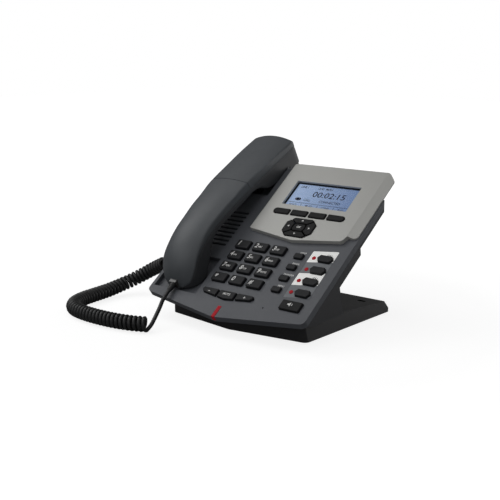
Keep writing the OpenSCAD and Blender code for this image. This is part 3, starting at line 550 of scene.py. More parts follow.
def loft(rings: Sequence[Sequence[Vector]], closed: bool = True, caps: bool = True) -> bmesh.types.BMesh:
    """A skin over rings of equal length.

    Args:
        rings: The rings, in order along the skin.
        closed: Whether each ring closes on itself.
        caps: Whether the two ends are closed by a face.

    Returns:
        The skin as a bmesh with its normals outwards.
    """
    bm = bmesh.new()
    rows = [[bm.verts.new(point) for point in ring] for ring in rings]
    count = len(rows[0])
    for low, high in zip(rows, rows[1:]):
        for index in range(count if closed else count - 1):
            after = (index + 1) % count
            bm.faces.new((low[index], low[after], high[after], high[index]))
    if caps:
        bm.faces.new(rows[0])
        bm.faces.new(list(reversed(rows[-1])))
    bmesh.ops.recalc_face_normals(bm, faces=bm.faces)
    return bm


def softened(node: str, width: float) -> bpy.types.Mesh:
    """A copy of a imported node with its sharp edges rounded.

    Args:
        node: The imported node's name.
        width: Width of the rounding in millimetres.

    Returns:
        The rounded mesh.
    """
    bm = cad_copy(node)
    bmesh.ops.dissolve_limit(
        bm, angle_limit=math.radians(0.6), verts=bm.verts, edges=bm.edges, use_dissolve_boundaries=False
    )
    sharp = [
        edge for edge in bm.edges
        if len(edge.link_faces) == 2 and edge.calc_face_angle(0.0) > math.radians(28)
    ]
    bmesh.ops.bevel(
        bm, geom=sharp, offset=width * MM, offset_type="OFFSET", segments=2, profile=0.6,
        affect="EDGES", clamp_overlap=True,
    )
    return even_normals(to_mesh(bm, node, 24.0))


class Lettering:
    """Printed signs: text turned into thin meshes."""

    thickness: float = 0.06

    @classmethod
    def mesh(cls, text: str, height: float, centre: Flat, level: float, slant: float = 0.0,
             align: str = "CENTER", stretch: float = 1.0, weight: float = 0.028) -> bpy.types.Mesh:
        """Makes one sign as a mesh in the row frame.

        Args:
            text: The sign.
            height: Height of its capitals.
            centre: Its place on the panel, u and v.
            level: Height above the panel face.
            slant: Lean of the signs, as a share of their height.
            align: Which of its points the place is: LEFT, CENTER or RIGHT.
            stretch: Width of the signs as a share of the font's own.
            weight: How much each stroke grows on either side, as a share of the height.

        Returns:
            The sign's mesh.
        """
        curve = bpy.data.curves.new("sign", "FONT")
        curve.body = text
        curve.size = height / 0.72
        curve.shear = slant
        curve.align_x = align
        curve.align_y = "CENTER"
        curve.extrude = cls.thickness / 2
        curve.offset = weight * height
        curve.resolution_u = 3
        flat = bpy.data.objects.new("sign", curve)
        bpy.context.scene.collection.objects.link(flat)
        mesh = evaluated(flat)
        bpy.data.curves.remove(curve)
        place = Matrix.Translation((centre[0], centre[1], level + cls.thickness / 2))
        mesh.transform(PANEL.matrix @ place @ Matrix.Diagonal((stretch, 1, 1, 1)))
        return mesh

    @classmethod
    def outline(cls, points: Sequence[Flat], centre: Flat, level: float) -> bpy.types.Mesh:
        """A flat printed shape with the given outline, in the row frame."""
        bm = bmesh.new()
        low = [bm.verts.new((centre[0] + p[0], centre[1] + p[1], level)) for p in points]
        high = [bm.verts.new((centre[0] + p[0], centre[1] + p[1], level + cls.thickness)) for p in points]
        bm.faces.new(list(reversed(low)))
        bm.faces.new(high)
        for index in range(len(points)):
            after = (index + 1) % len(points)
            bm.faces.new((low[index], low[after], high[after], high[index]))
        bmesh.ops.recalc_face_normals(bm, faces=bm.faces)
        bm.transform(PANEL.matrix)
        mesh = bpy.data.meshes.new("outline")
        bm.to_mesh(mesh)
        bm.free()
        return mesh


def merged(meshes: Sequence[tuple[bpy.types.Mesh, int]], name: str, angle: float = 32.0) -> bpy.types.Mesh:
    """One mesh of several, each with its own material index; the parts are removed."""
    bm = bmesh.new()
    for mesh, index in meshes:
        before = len(bm.faces)
        bm.from_mesh(mesh)
        bm.faces.ensure_lookup_table()
        for face in bm.faces[before:]:
            face.material_index = index
        bpy.data.meshes.remove(mesh)
    return to_mesh(bm, name, angle)


# ---------------------------------------------------------------- cords


@dataclass
class CurlyCord:
    """The handset cord: a coiled run that lies on the desk, and a plain tail at each end.

    Attributes:
        wire: Diameter of the jacket.
        coil: Outer diameter of the coil.
        pitch: Advance of the coil in one turn.
        turn_points: Points along each turn.
        run: Middle line of the coiled run, from its front end, measured from the body's front point.
        handset_tail: Line of the tail that goes up to the handset.
        base_tail: Line of the tail that goes to the socket in the body's side.
    """

    wire: float = 3.6
    coil: float = 14.2
    pitch: float = 4.25
    turn_points: int = 16
    ramp_turns: float = 1.5
    run: Sequence[Point] = (
        (-50, -29.5, 7.3), (-63, -35, 7.3), (-80, -39, 7.3), (-100, -40.5, 7.3), (-120, -39.5, 7.3),
        (-138, -35, 7.3), (-151, -24, 7.3), (-158, -8, 7.3), (-161, 10, 7.3), (-162, 28, 8),
        (-160, 45, 11), (-152, 59, 17), (-140, 66, 25), (-127, 66, 31.5), (-117, 64, 36),
    )
    handset_tail: Sequence[Point] = (
        (-60.3, 15.5, 33.3), (-60.3, 14.6, 32.8), (-60.2, 11.2, 30.3), (-59.6, 5.5, 26.2),
        (-57.8, -1.5, 21.8), (-54, -9.5, 17), (-51, -18, 11), (-48.8, -25.5, 5.8), (-47.2, -30.6, 2.3),
    )
    base_tail: Sequence[Point] = (
        (-116.6, 63.9, 36.2), (-114, 63.4, 37.2), (-110, 60.8, 38), (-105.5, 56, 37), (-100.5, 51.8, 35.2),
        (-96, 50, 34), (-91.7, 50, 34),
    )

    @staticmethod
    def curve_through(points: Sequence[Vector], step: float) -> list[Vector]:
        """Evenly spaced points on a smooth curve through the given ones.

        Args:
            points: The route.
            step: Distance between the points that come back.

        Returns:
            The points, with both ends of the route kept.
        """
        ends = [2 * points[0] - points[1], *points, 2 * points[-1] - points[-2]]
        fine: list[Vector] = []
        for a, b, c, d in zip(ends, ends[1:], ends[2:], ends[3:]):
            for index in range(24):
                t = index / 24
                fine.append(0.5 * (
                    2 * b + (c - a) * t + (2 * a - 5 * b + 4 * c - d) * t ** 2
                    + (3 * b - a - 3 * c + d) * t ** 3
                ))
        fine.append(points[-1].copy())
        lengths = [0.0]
        for a, b in zip(fine, fine[1:]):
            lengths.append(lengths[-1] + (b - a).length)
        count = max(2, round(lengths[-1] / step))
        result, at = [], 0
        for index in range(count + 1):
            want = lengths[-1] * index / count
            while at < len(fine) - 2 and lengths[at + 1] < want:
                at += 1
            part = (want - lengths[at]) / max(1e-9, lengths[at + 1] - lengths[at])
            result.append(fine[at].lerp(fine[at + 1], min(1.0, max(0.0, part))))
        return result

    def coil_points(self) -> list[Vector]:
        """The wire line of the coiled run and its tail to the body, in millimetres from the front point."""
        route = [Vector(p) for p in (*self.run, *self.base_tail[1:])]
        middle = self.curve_through(route, self.pitch / self.turn_points)
        coil_end = Vector(self.run[-1])
        last = min(range(len(middle)), key=lambda index: (middle[index] - coil_end).length)
        radius = (self.coil - self.wire) / 2
        side = Vector((0, 0, -1))
        ramp = self.turn_points * self.ramp_turns
        points = []
        for index, place in enumerate(middle):
            ahead = middle[min(index + 1, len(middle) - 1)] - middle[max(index - 1, 0)]
            ahead.normalize()
            side = (side - ahead * side.dot(ahead)).normalized()
            across = ahead.cross(side)
            angle = 2 * math.pi * index / self.turn_points
            part = min(1.0, max(0.0, (last - index) / ramp))
            size = radius * part * part * (3 - 2 * part)
            points.append(place + size * (math.cos(angle) * side + math.sin(angle) * across))
        return points

    def spline_object(self, name: str, points: Sequence[Vector]) -> bpy.types.Object:
        """A round curve object along points that are in metres."""
        curve = bpy.data.curves.new(name, "CURVE")
        curve.dimensions = "3D"
        curve.bevel_depth = self.wire * MM / 2
        curve.bevel_resolution = 3
        curve.use_fill_caps = True
        spline = curve.splines.new("POLY")
        spline.points.add(len(points) - 1)
        for target, point in zip(spline.points, points):
            target.co = (*point, 1.0)
        curve.materials.append(Finish.CORD.value.material())
        cord = bpy.data.objects.new(name, curve)
        bpy.context.scene.collection.objects.link(cord)
        return cord

    @staticmethod
    def length_of(points: Sequence[Vector]) -> float:
        """Length of a line through points."""
        return sum((b - a).length for a, b in zip(points, points[1:]))

    def build_main(self) -> bpy.types.Object:
        """The coiled run with its tail to the body, as one curve."""
        points = [on_desk(tuple(p)) for p in self.coil_points()]
        cord = self.spline_object("curly_cord_run", points)
        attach(cord, "base")
        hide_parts("curly_cord", "cord_tails")
        return cord

    def build_tail(self) -> bpy.types.Object:
        """The tail between the coil and the handset."""
        start = self.coil_points()[:3]
        route = [Vector(p) for p in self.handset_tail[:-1]]
        line = self.curve_through([*route, start[0]], 1.2)
        points = [on_desk(tuple(p)) for p in line]
        tube = self.spline_object("handset_cord_tail", points)
        mesh = smooth(evaluated(tube), 60.0)
        cord = put("handset_cord_tail", mesh, [Finish.CORD], "base")
        cord.parent = None
        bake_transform(cord)
        return cord

    def strain_reliefs(self) -> None:
        """A short ribbed, tapered sleeve where each tail leaves its plug."""
        for name, tail, body in (
            ("handset_cord_relief", list(self.handset_tail[1:]), "handset"),
            ("base_cord_relief", list(reversed(self.base_tail)), "base"),
        ):
            line = self.curve_through([Vector(p) for p in tail], 0.4)[:20]
            rings = []
            for index, place in enumerate(line):
                ahead = (line[min(index + 1, 19)] - line[max(index - 1, 0)]).normalized()
                side = ahead.cross(Vector((0, 0, 1))).normalized()
                rise = side.cross(ahead)
                rib = 0.22 if index % 4 < 2 else 0.0
                size = self.wire / 2 + 1.1 - 0.9 * index / 19 + rib
                rings.append([
                    on_desk(tuple(place + size * (math.cos(a) * side + math.sin(a) * rise)))
                    for a in (2 * math.pi * k / 16 for k in range(16))
                ])
            put(name, to_mesh(loft(rings), name, 50.0), [Finish.CORD], body)


# ---------------------------------------------------------------- handset


@dataclass
class Handset:
    """The handset: a back cover and a front cover that meet along its sides.

    Its places use s up the handset from its mouth end, x across and h out of the panel.
    """

    middle_u: float = -60.3
    start_v: float = 22.5
    length: float = 190.0
    ear_half: float = 25.0
    mouth_half: float = 21.5
    lean_height: float = 30.0
    parting: float = 10.5
    seam: float = 0.02
    parting_inset: float = 0.35
    wall: float = 2.0
    corner: float = 60.0
    cross_seam: float = 112.0
    groove_half: float = 0.4
    groove_depth: float = 0.45
    end_round: float = 5.0
    end_lean: float = 0.28
    lean_reach: float = 24.0
    crown_radii: Sequence[Flat] = ((0, 18), (24, 30), (55, 38), (85, 50), (112, 84), (150, 76), (190, 60))
    arris_half: Sequence[Flat] = ((0, 18.0), (24, 18.8), (52, 18.4), (80, 19.8), (112, 21.2), (190, 22.0))
    back_curve: Sequence[Flat] = ((0, -1), (8.5, 47), (80, 34.5), (189, 18.2))
    under_line: Sequence[Flat] = (
        (0, -1), (7.5, -4), (19.5, -4), (37.5, 9), (45.5, 15.5), (59.5, 18.5), (78.5, 17),
        (113.5, 14.5), (122, 11.5), (128.5, 3.5), (167.5, -10), (183, -10), (189.5, -4),
    )
    top_points: int = 26
    low_points: int = 24

    def back_at(self, s: float) -> float:
        """Height of the back above the panel face, at a place along the handset."""
        (s0, h0), (s1, h1), (s2, h2), (s3, h3) = self.back_curve

        def bezier(t: float, a: float, b: float, c: float, d: float) -> float:
            """One coordinate of the back's curve."""
            return (1 - t) ** 3 * a + 3 * t * (1 - t) ** 2 * b + 3 * t * t * (1 - t) * c + t ** 3 * d

        low, high = 0.0, 1.0
        for _ in range(40):
            mid = (low + high) / 2
            if bezier(mid, s0, s1, s2, s3) < s:
                low = mid
            else:
                high = mid
        return bezier(low, h0, h1, h2, h3)

    def under_at(self, s: float) -> float:
        """Height of the underside, its corners softened."""

        def line(place: float) -> float:
            """The plain underside line."""
            place = min(max(place, 0.0), self.length - 0.5)
            for (a, low), (b, high) in zip(self.under_line, self.under_line[1:]):
                if place <= b:
                    return low + (high - low) * (place - a) / (b - a)
            return self.under_line[-1][1]

        reach = min(3.5, s, self.length - 0.5 - s)
        return sum(line(s + reach * k / 4) for k in range(-4, 5)) / 9

    def half_width(self, s: float) -> float:
        """Half of the handset's width on plan."""
        if s < 30:
            reach = 18.0
            flat = self.mouth_half - reach
            return flat + math.sqrt(max(0.0, reach ** 2 - max(0.0, reach - s) ** 2))
        taper_end = self.length - 60
        width = self.mouth_half + (self.ear_half - self.mouth_half) * min(1.0, (s - 30) / (taper_end - 30))
        reach = 14.0
        part = max(0.0, (s - (self.length - reach)) / reach)
        return width * (1 - min(0.9999, part) ** 6) ** (1 / 6)

    @staticmethod
    def read(table: Sequence[Flat], s: float) -> float:
        """A value from a table of places along the handset, eased between them."""
        for (a, low), (b, high) in zip(table, table[1:]):
            if s <= b:
                part = (s - a) / (b - a)
                return low + (high - low) * part * part * (3 - 2 * part)
        return table[-1][1]

    def section(self, s: float) -> tuple[list[Flat], list[Flat]]:
        """Half of the cross section at s, for x from 0 up.

        Args:
            s: Place along the handset.

        Returns:
            The front cover's points from the middle of the underside to the parting, and the back
            cover's from the parting to the middle of the back. Both are (x, h).
        """
        top, bottom, width = self.back_at(s), self.under_at(s), self.half_width(s)
        tip = s - (self.length - 0.5 - self.end_round)
        if tip > 0:
            drop = self.end_round - math.sqrt(max(0.0, self.end_round ** 2 - tip ** 2))
            top, bottom = top - drop, bottom + 0.3 * drop
        crown = self.read(self.crown_radii, s)
        middle = (top + bottom) / 2
        arris = min(self.read(self.arris_half, s), width)
        lean = max(0.0, (width - arris) / self.lean_height)

        def radius(angle: float) -> float:
            """Distance from the section's middle to its skin."""
            x, h = math.cos(angle), math.sin(angle)
            offset = middle - (top - crown)
            arc = -offset * h + math.sqrt(max(1e-9, (offset * h) ** 2 - offset ** 2 + crown ** 2))
            terms = [1 / arc]
            side = x + lean * h
            if side > 1e-6:
                terms.append(side / max(0.05, width - lean * middle))
            if h < -1e-6:
                terms.append(-h / max(0.02, middle - bottom))
            return sum(term ** self.corner for term in terms) ** (-1 / self.corner)

        fine = []
        for index in range(241):
            angle = math.pi * (index / 240 - 0.5)
            size = radius(angle)
            fine.append((size * math.cos(angle), middle + size * math.sin(angle)))
        part_height = max(top - self.parting, bottom + 0.35 * (top - bottom) if top - bottom < 14 else -99)
        split = next(i for i, (x, h) in enumerate(fine) if h >= part_height and i > 8)
        return (
            self.spaced(fine[:split + 1], self.low_points),
            self.spaced(fine[split:], self.top_points),
        )

    @staticmethod
    def spaced(points: Sequence[Flat], count: int) -> list[Flat]:
        """Points spaced evenly along a line."""
        lengths = [0.0]
        for a, b in zip(points, points[1:]):
            lengths.append(lengths[-1] + math.dist(a, b))
        result, at = [], 0
        for index in range(count + 1):
            want = lengths[-1] * index / count
            while at < len(points) - 2 and lengths[at + 1] < want:
                at += 1
            part = (want - lengths[at]) / max(1e-9, lengths[at + 1] - lengths[at])
            a, b = points[at], points[at + 1]
            result.append((a[0] + (b[0] - a[0]) * part, a[1] + (b[1] - a[1]) * part))
        return result

    def stations(self) -> list[float]:
        """Places along the handset at which its section is taken."""
        end = self.length - 0.5
        near = [0.02, 0.2, 0.6, 1.2, 2, 3, 4.2, 5.6, 7.2, 9, 11, 13.2, 15.6, 18.2, 21, 24]
        far = [end - d for d in (5.2, 3.9, 2.8, 1.9, 1.1, 0.5, 0.15, 0.0)]
        body = [27 + (far[0] - 4 - 27) * k / 50 for k in range(51)]
        groove = [self.cross_seam + d for d in (-0.55, -0.3, 0.3, 0.55)]
        kept = [s for s in body if all(abs(s - g) > 0.8 for g in groove)]
        return sorted([*near, *kept, *groove, *far])

    def place(self, x: float, s: float, h: float) -> Vector:
        """The row-frame place of a point of the handset, whose ear end leans under its back."""
        near_end = max(0.0, (s - self.length + self.lean_reach) / self.lean_reach) ** 2
        below = max(0.0, self.back_at(min(s, self.length - 1)) - h)
        return PANEL.point(self.middle_u + x, self.start_v + s - self.end_lean * below * near_end, h)

    def cover_rings(self, back: bool) -> list[list[Vector]]:
        """The open rings of one cover, from one parting edge round to the other."""
        rings = []
        for s in self.stations():
            front_half, back_half = self.section(s)
            half = list(back_half if back else reversed(front_half))
            grooved = back and abs(s - self.cross_seam) < self.groove_half
            inset = self.groove_depth if grooved else 0.0
            edge_gap = self.seam / 2 if back else -self.seam / 2
            middle_h = half[-1][1] if back else (half[0][1] + half[-1][1]) / 2
            shaped = []
            for index, (x, h) in enumerate(half):
                if index == 0:
                    x, h = x - self.parting_inset, h + edge_gap
                if inset:
                    length = math.hypot(x, h - (middle_h - 30)) if back else 1.0
                    x -= inset * x / length
                    h -= inset * (h - (middle_h - 30)) / length
                shaped.append((x, h))
            ring = [self.place(x, s, h) for x, h in shaped]
            ring += [self.place(-x, s, h) for x, h in reversed(shaped[:-1])]
            rings.append(ring)
        return rings

    def cover(self, name: str, back: bool, finish: Finish, nodes: Sequence[str]) -> bpy.types.Object:
        """Builds one cover with its wall.

        Args:
            name: The piece's name.
            back: Whether it is the back cover.
            finish: Its finish.
            nodes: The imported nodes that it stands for.

        Returns:
            The cover.
        """
        bm = loft(self.cover_rings(back), closed=False, caps=False)
        bmesh.ops.remove_doubles(bm, verts=bm.verts, dist=3e-5)
        boundary = [edge for edge in bm.edges if edge.is_boundary]
        ends = [
            edge for edge in boundary
            if all(self.end_depth(v.co) < 0.05 for v in edge.verts)
        ]
        self.close_end(bm, ends)
        bmesh.ops.recalc_face_normals(bm, faces=bm.faces)
        mesh = to_mesh(bm, name, 40.0)
        shell = bpy.data.objects.new(name + "_shell", mesh)
        bpy.context.scene.collection.objects.link(shell)
        wall = shell.modifiers.new("wall", "SOLIDIFY")
        wall.thickness = self.wall * MM
        wall.offset = -1.0 if self.faces_out(mesh) else 1.0
        wall.use_even_offset = False
        return put(name, smooth(evaluated(shell), 40.0), [finish], "handset", nodes)

    def end_depth(self, place: Vector) -> float:
        """How far a row-frame point lies inside the leaning ear end."""
        local = PANEL.matrix.inverted() @ place
        end = self.place(0.0, self.length - 0.5, local.z)
        return abs((PANEL.matrix.inverted() @ end).y - local.y)

    def faces_out(self, mesh: bpy.types.Mesh) -> bool:
        """Whether the cover's faces point away from the handset's middle line."""
        middle = self.place(0, 90, 24)
        score = 0.0
        for face in mesh.polygons:
            score += face.area * face.normal.dot(face.center - middle)
        return score > 0

    def close_end(self, bm: bmesh.types.BMesh, ends: Sequence[bmesh.types.BMEdge]) -> None:
        """Closes the flat ear end with a fan of faces that stops at the parting."""
        if not ends:
            return
        verts = list({vert for edge in ends for vert in edge.verts})
        linked: dict[bmesh.types.BMVert, list[bmesh.types.BMVert]] = {vert: [] for vert in verts}
        for edge in ends:
            a, b = edge.verts
            linked[a].append(b)
            linked[b].append(a)
        start = next((vert for vert in verts if len(linked[vert]) == 1), verts[0])
        chain, last = [start], None
        while True:
            after = [vert for vert in linked[chain[-1]] if vert is not last]
            if not after or after[0] is start:
                break
            last = chain[-1]
            chain.append(after[0])
        half = len(chain) // 2
        for index in range(half):
            a, b = chain[index], chain[index + 1] if index + 1 < len(chain) else chain[-1]
            c, d = chain[-1 - index], chain[-2 - index]
            corners = []
            for vert in (a, b, d, c):
                if vert not in corners:
                    corners.append(vert)
            if len(corners) >= 3:
                bm.faces.new(corners)

    def build(self) -> None:
        """Builds both covers."""
        self.cover("handset_back", True, Finish.HANDSET, ["handset_back_cover"])
        self.cover("handset_front", False, Finish.HANDSET_FRONT, ["handset_front_cover"])


# ---------------------------------------------------------------- keys


@dataclass(frozen=True)
class Sign:
    """A sign printed on a key."""

    text: str
    height: float
    shift: Flat
    slant: float = 0.0
    align: str = "CENTER"
    stretch: float = 1.0
    outline: Sequence[Flat] = ()


@dataclass
class KeyCap:
    """One key: its packed flange and stem, under a cap with rounded edges and drafted sides."""

    node: str
    top: float
    centre: Flat
    finish: Finish
    slot: str
    signs: Sequence[Sign] = ()
    fillet: float = 0.75
    draft: float = 0.2
    step: float = 0.6

    @staticmethod
    def loop(bm: bmesh.types.BMesh) -> list[bmesh.types.BMVert]:
        """The open edge's vertices in order."""
        edges = [edge for edge in bm.edges if edge.is_boundary]
        linked: dict[bmesh.types.BMVert, list[bmesh.types.BMVert]] = {}
        for edge in edges:
            a, b = edge.verts
            linked.setdefault(a, []).append(b)
            linked.setdefault(b, []).append(a)
        start = edges[0].verts[0]
        chain, last = [start], None
        while True:
            after = [vert for vert in linked[chain[-1]] if vert is not last]
            if not after or after[0] is start or len(chain) > len(linked):
                return chain
            last = chain[-1]
            chain.append(after[0])

    @staticmethod
    def inward(points: Sequence[Vector]) -> list[Vector]:
        """For each corner of an outline, the way and the share of an even inset."""
        area = sum(a.x * b.y - b.x * a.y for a, b in zip(points, [*points[1:], points[0]]))
        turn = 1.0 if area > 0 else -1.0
        result = []
        for index, point in enumerate(points):
            before, after = points[index - 1], points[(index + 1) % len(points)]
            one = (point - before).normalized()
            two = (after - point).normalized()
            first = Vector((-one.y, one.x, 0)) * turn
            second = Vector((-two.y, two.x, 0)) * turn
            middle = (first + second).normalized()
            result.append(middle / max(0.5, middle.dot(first)))
        return result

    def build(self) -> bpy.types.Object:
        """Makes the key and its signs."""
        bm = cad_copy(self.node)
        bm.transform(PANEL.matrix.inverted())
        bmesh.ops.delete(
            bm, geom=[vert for vert in bm.verts if vert.co.z > self.top - self.step - 0.3], context="VERTS"
        )
        rim = self.loop(bm)
        flat = [vert.co.copy() for vert in rim]
        ways = self.inward(flat)
        rows = [rim]
        levels = [(self.draft * 0.1, self.top - self.fillet)]
        for k in range(1, 5):
            angle = math.pi / 8 * k
            levels.append((
                self.fillet * (1 - math.cos(angle)),
                self.top - self.fillet * (1 - math.sin(angle)),
            ))
        for inset, level in levels:
            inset += self.draft
            rows.append([
                bm.verts.new((p.x + way.x * inset, p.y + way.y * inset, level)) for p, way in zip(flat, ways)
            ])
        for low, high in zip(rows, rows[1:]):
            for index in range(len(rim)):
                after = (index + 1) % len(rim)
                bm.faces.new((low[index], low[after], high[after], high[index]))
        bm.faces.new(rows[-1])
        bmesh.ops.recalc_face_normals(bm, faces=bm.faces)
        bm.transform(PANEL.matrix)
        parts = [(to_mesh(bm, self.node), 0)]
        for sign in self.signs:
            at = (self.centre[0] + sign.shift[0], self.centre[1] + sign.shift[1])
            if sign.outline:
                mark = Lettering.outline(sign.outline, at, self.top)
            else:
                mark = Lettering.mesh(
                    sign.text, sign.height, at, self.top, sign.slant, sign.align, sign.stretch
                )
            parts.append((mark, 1))
        mesh = even_normals(merged(parts, self.node))
        return put(self.node + "_cap", mesh, [self.finish, Finish.LEGEND], self.node, [self.node])


@dataclass
class KeyField:
    """All of the telephone's keys, with their places on the panel."""

    dial_place: Flat = (0.0, 41.6)
    dial_pitch: Flat = (20.0, 13.5)
    dial_top: float = 2.6
    small_top: float = 2.2
    bezel_top: float = 5.3
    volume_v: float = 24.3
    function_place: Flat = (43.7, 40.8)
    function_pitch: float = 13.0
    line_place: Flat = (70.6, 41.8)
    line_pitch: float = 13.2
    speaker_place: Flat = (67.8, 27.1)
    soft_place: Flat = (27.5, 125.7)
    soft_pitch: float = 20.0
    nav_place: Flat = (27.5, 108.8)
    dial_signs: Sequence[tuple[str, str, str]] = (
        ("key_star", "*", ""), ("key_0", "0", ""), ("key_hash", "#", ""),
        ("key_7", "7", "PQRS"), ("key_8", "8", "TUV"), ("key_9", "9", "WXYZ"),
        ("key_4", "4", "GHI"), ("key_5", "5", "JKL"), ("key_6", "6", "MNO"),
        ("key_1", "1", ""), ("key_2", "2", "ABC"), ("key_3", "3", "DEF"),
    )
    function_signs: Sequence[str] = ("HOLD", "REDIAL", "TRANSFER", "MENU")

    def dial(self) -> list[KeyCap]:
        """The twelve dial keys: a leaning figure at the left with small letters beside it."""
        keys = []
        for index, (node, figure, letters) in enumerate(self.dial_signs):
            place = (
                self.dial_place[0] + (index % 3 - 1) * self.dial_pitch[0],
                self.dial_place[1] + index // 3 * self.dial_pitch[1],
            )
            height, drop = (4.9, 0.3) if figure not in "*#" else (4.6, 0.2)
            if figure == "*":
                height, drop = 5.6, -0.9
            signs = [Sign(figure, height, (-4.3, drop), 0.22, "CENTER", 0.9)]
            if letters:
                signs.append(Sign(letters, 1.9, (-2.2, -0.4), 0.1, "LEFT", 0.85))
            keys.append(KeyCap(node, self.dial_top, place, Finish.KEY, "key_plastic", signs))
        return keys

    def volume(self) -> list[KeyCap]:
        """The volume keys and the mute key below the dial keys."""
        signs = {
            "volume_down_key": [Sign("-", 4.0, (0, 0.4), 0, "CENTER", 1.3)],
            "mute_key": [Sign("MUTE", 2.2, (0, 0.2), 0.1)],
            "volume_up_key": [Sign("+", 3.2, (0, 0.2))],
        }
        return [
            KeyCap(node, self.small_top, ((index - 1) * self.dial_pitch[0], self.volume_v), Finish.KEY,
                   "key_plastic", signs[node], 0.6)
            for index, node in enumerate(signs)
        ]

    def speaker(self) -> list[KeyCap]:
        """The loudspeaker key with its horn mark."""
        horn = ((-2.2, -0.7), (-1.0, -0.7), (0.7, -2.1), (0.7, 2.1), (-1.0, 0.7), (-2.2, 0.7))
        wave = tuple(
            (1.0 + r * math.cos(a), r * math.sin(a))
            for r, turns in ((1.6, range(-3, 4)), (1.1, range(3, -4, -1))) for a in (k * 0.25 for k in turns)
        )
        signs = [Sign("", 1.0, (-1.0, 0.6), outline=horn), Sign("", 1.0, (-1.0, 0.6), outline=wave)]
        return [KeyCap("speaker_key", self.small_top, self.speaker_place, Finish.DARK_KEY,
                       "dark_key_plastic", signs, 0.6)]

    def columns(self) -> list[KeyCap]:
        """The four function keys and the four line keys, counted from the top."""
        keys = []
        for index in range(4):
            row = 3 - index
            place = (self.function_place[0], self.function_place[1] + row * self.function_pitch)
            keys.append(KeyCap(f"function_key_{index + 1}", self.small_top, place, Finish.KEY,
                               "key_plastic", fillet=0.6))
            place = (self.line_place[0], self.line_place[1] + row * self.line_pitch)
            keys.append(KeyCap(f"line_key_{index + 1}", self.small_top, place, Finish.KEY,
                               "key_plastic", fillet=0.6))
        return keys

    def bezel_keys(self) -> list[KeyCap]:
        """The soft keys and the navigation keys in the bezel."""
        keys = []
        for index in range(4):
            place = (self.soft_place[0] + (index - 1.5) * self.soft_pitch, self.soft_place[1])
            keys.append(KeyCap(f"soft_key_{index + 1}", self.bezel_top, place, Finish.DARK_KEY,
                               "dark_key_plastic", fillet=0.6))
        size = 1.1
        arrows = {
            "nav_right": ((11.2, 0), ((size, 0), (-size * 0.6, size), (-size * 0.6, -size))),
            "nav_up": ((0, 8), ((0, size), (-size, -size * 0.6), (size, -size * 0.6))),
            "nav_left": ((-11.2, 0), ((-size, 0), (size * 0.6, -size), (size * 0.6, size))),
            "nav_down": ((0, -8), ((0, -size), (size, size * 0.6), (-size, size * 0.6))),
        }
        for node, (shift, outline) in arrows.items():
            keys.append(KeyCap(node, self.bezel_top, self.nav_place, Finish.DARK_KEY, "dark_key_plastic",
                               [Sign("", 1.0, shift, outline=outline)], 0.6))
        keys.append(KeyCap("nav_ok", self.bezel_top, self.nav_place, Finish.DARK_KEY, "dark_key_plastic",
                           [Sign("OK", 2.2, (0, 0), 0.1)], 0.6))
        return keys

    def build(self) -> None:
        """Makes every key."""
        for key in (*self.dial(), *self.volume(), *self.speaker(), *self.columns(), *self.bezel_keys()):
            key.build()

    def panel_signs(self) -> None:
        """The small signs printed above the function keys and on the line key card."""
        lines = [f"LINE {index + 1}" for index in range(4)]
        for name, texts, height, (u, v), pitch, shift, finish, slot in (
            ("function_signs", self.function_signs, 1.7, self.function_place, self.function_pitch,
             (1.6, 5.0), Finish.LEGEND, "slate_plastic"),
            ("line_signs", lines, 1.4, self.line_place, self.line_pitch,
             (1.5, 5.6), Finish.GREY_LEGEND, "card"),
        ):
            parts = []
            for row, text in zip(range(3, -1, -1), texts):
                place = (u + shift[0], v + row * pitch + shift[1])
                parts.append((Lettering.mesh(text, height, place, 0.0, 0.1), 0))
            put(name, merged(parts, name), [finish], "base")


# ---------------------------------------------------------------- repeated details


class Tree:
    """A geometry node tree made in the script, with named inputs."""

    def __init__(self, name: str, inputs: dict[str, object]) -> None:
        """Makes the tree and its inputs.

        Args:
            name: The tree's name.
            inputs: Each input's name and value: a number, a count, a finish or a vector.
        """
        self.tree = bpy.data.node_groups.new(name, "GeometryNodeTree")
        self.graph = Graph(self.tree)
        self.ids: dict[str, str] = {}
        self.values = inputs
        self.tree.interface.new_socket("Geometry", in_out="INPUT", socket_type="NodeSocketGeometry")
        for key, value in inputs.items():
            kind = {bool: "Bool", int: "Int", float: "Float", Finish: "Material"}.get(type(value), "Vector")
            socket = self.tree.interface.new_socket(key, in_out="INPUT", socket_type=f"NodeSocket{kind}")
            self.ids[key] = socket.identifier
        self.tree.interface.new_socket("Geometry", in_out="OUTPUT", socket_type="NodeSocketGeometry")
        self.inside = self.graph.add("NodeGroupInput")
        self.outside = self.graph.add("NodeGroupOutput")

    def end(self, geometry: bpy.types.NodeSocket, finish: str) -> None:
        """Ends the tree in Realize Instances and Set Material."""
        real = self.graph.add("GeometryNodeRealizeInstances")
        paint = self.graph.add("GeometryNodeSetMaterial")
        self.graph.join(geometry, real.inputs[0])
        self.graph.join(real.outputs[0], paint.inputs["Geometry"])
        self.graph.join(self.inside.outputs[finish], paint.inputs["Material"])
        self.graph.join(paint.outputs[0], self.outside.inputs[0])

    def run(self, mesh: Optional[bpy.types.Mesh] = None) -> bpy.types.Mesh:
        """Applies the tree to a mesh, or to nothing, and gives the result as a plain mesh."""
        base = mesh or bpy.data.meshes.new("seed")
        obj = bpy.data.objects.new("tree", base)
        bpy.context.scene.collection.objects.link(obj)
        modifier = obj.modifiers.new("tree", "NODES")
        modifier.node_group = self.tree
        for key, identifier in self.ids.items():
            value = self.values[key]
            modifier[identifier] = value.value.material() if isinstance(value, Finish) else value
        return evaluated(obj)


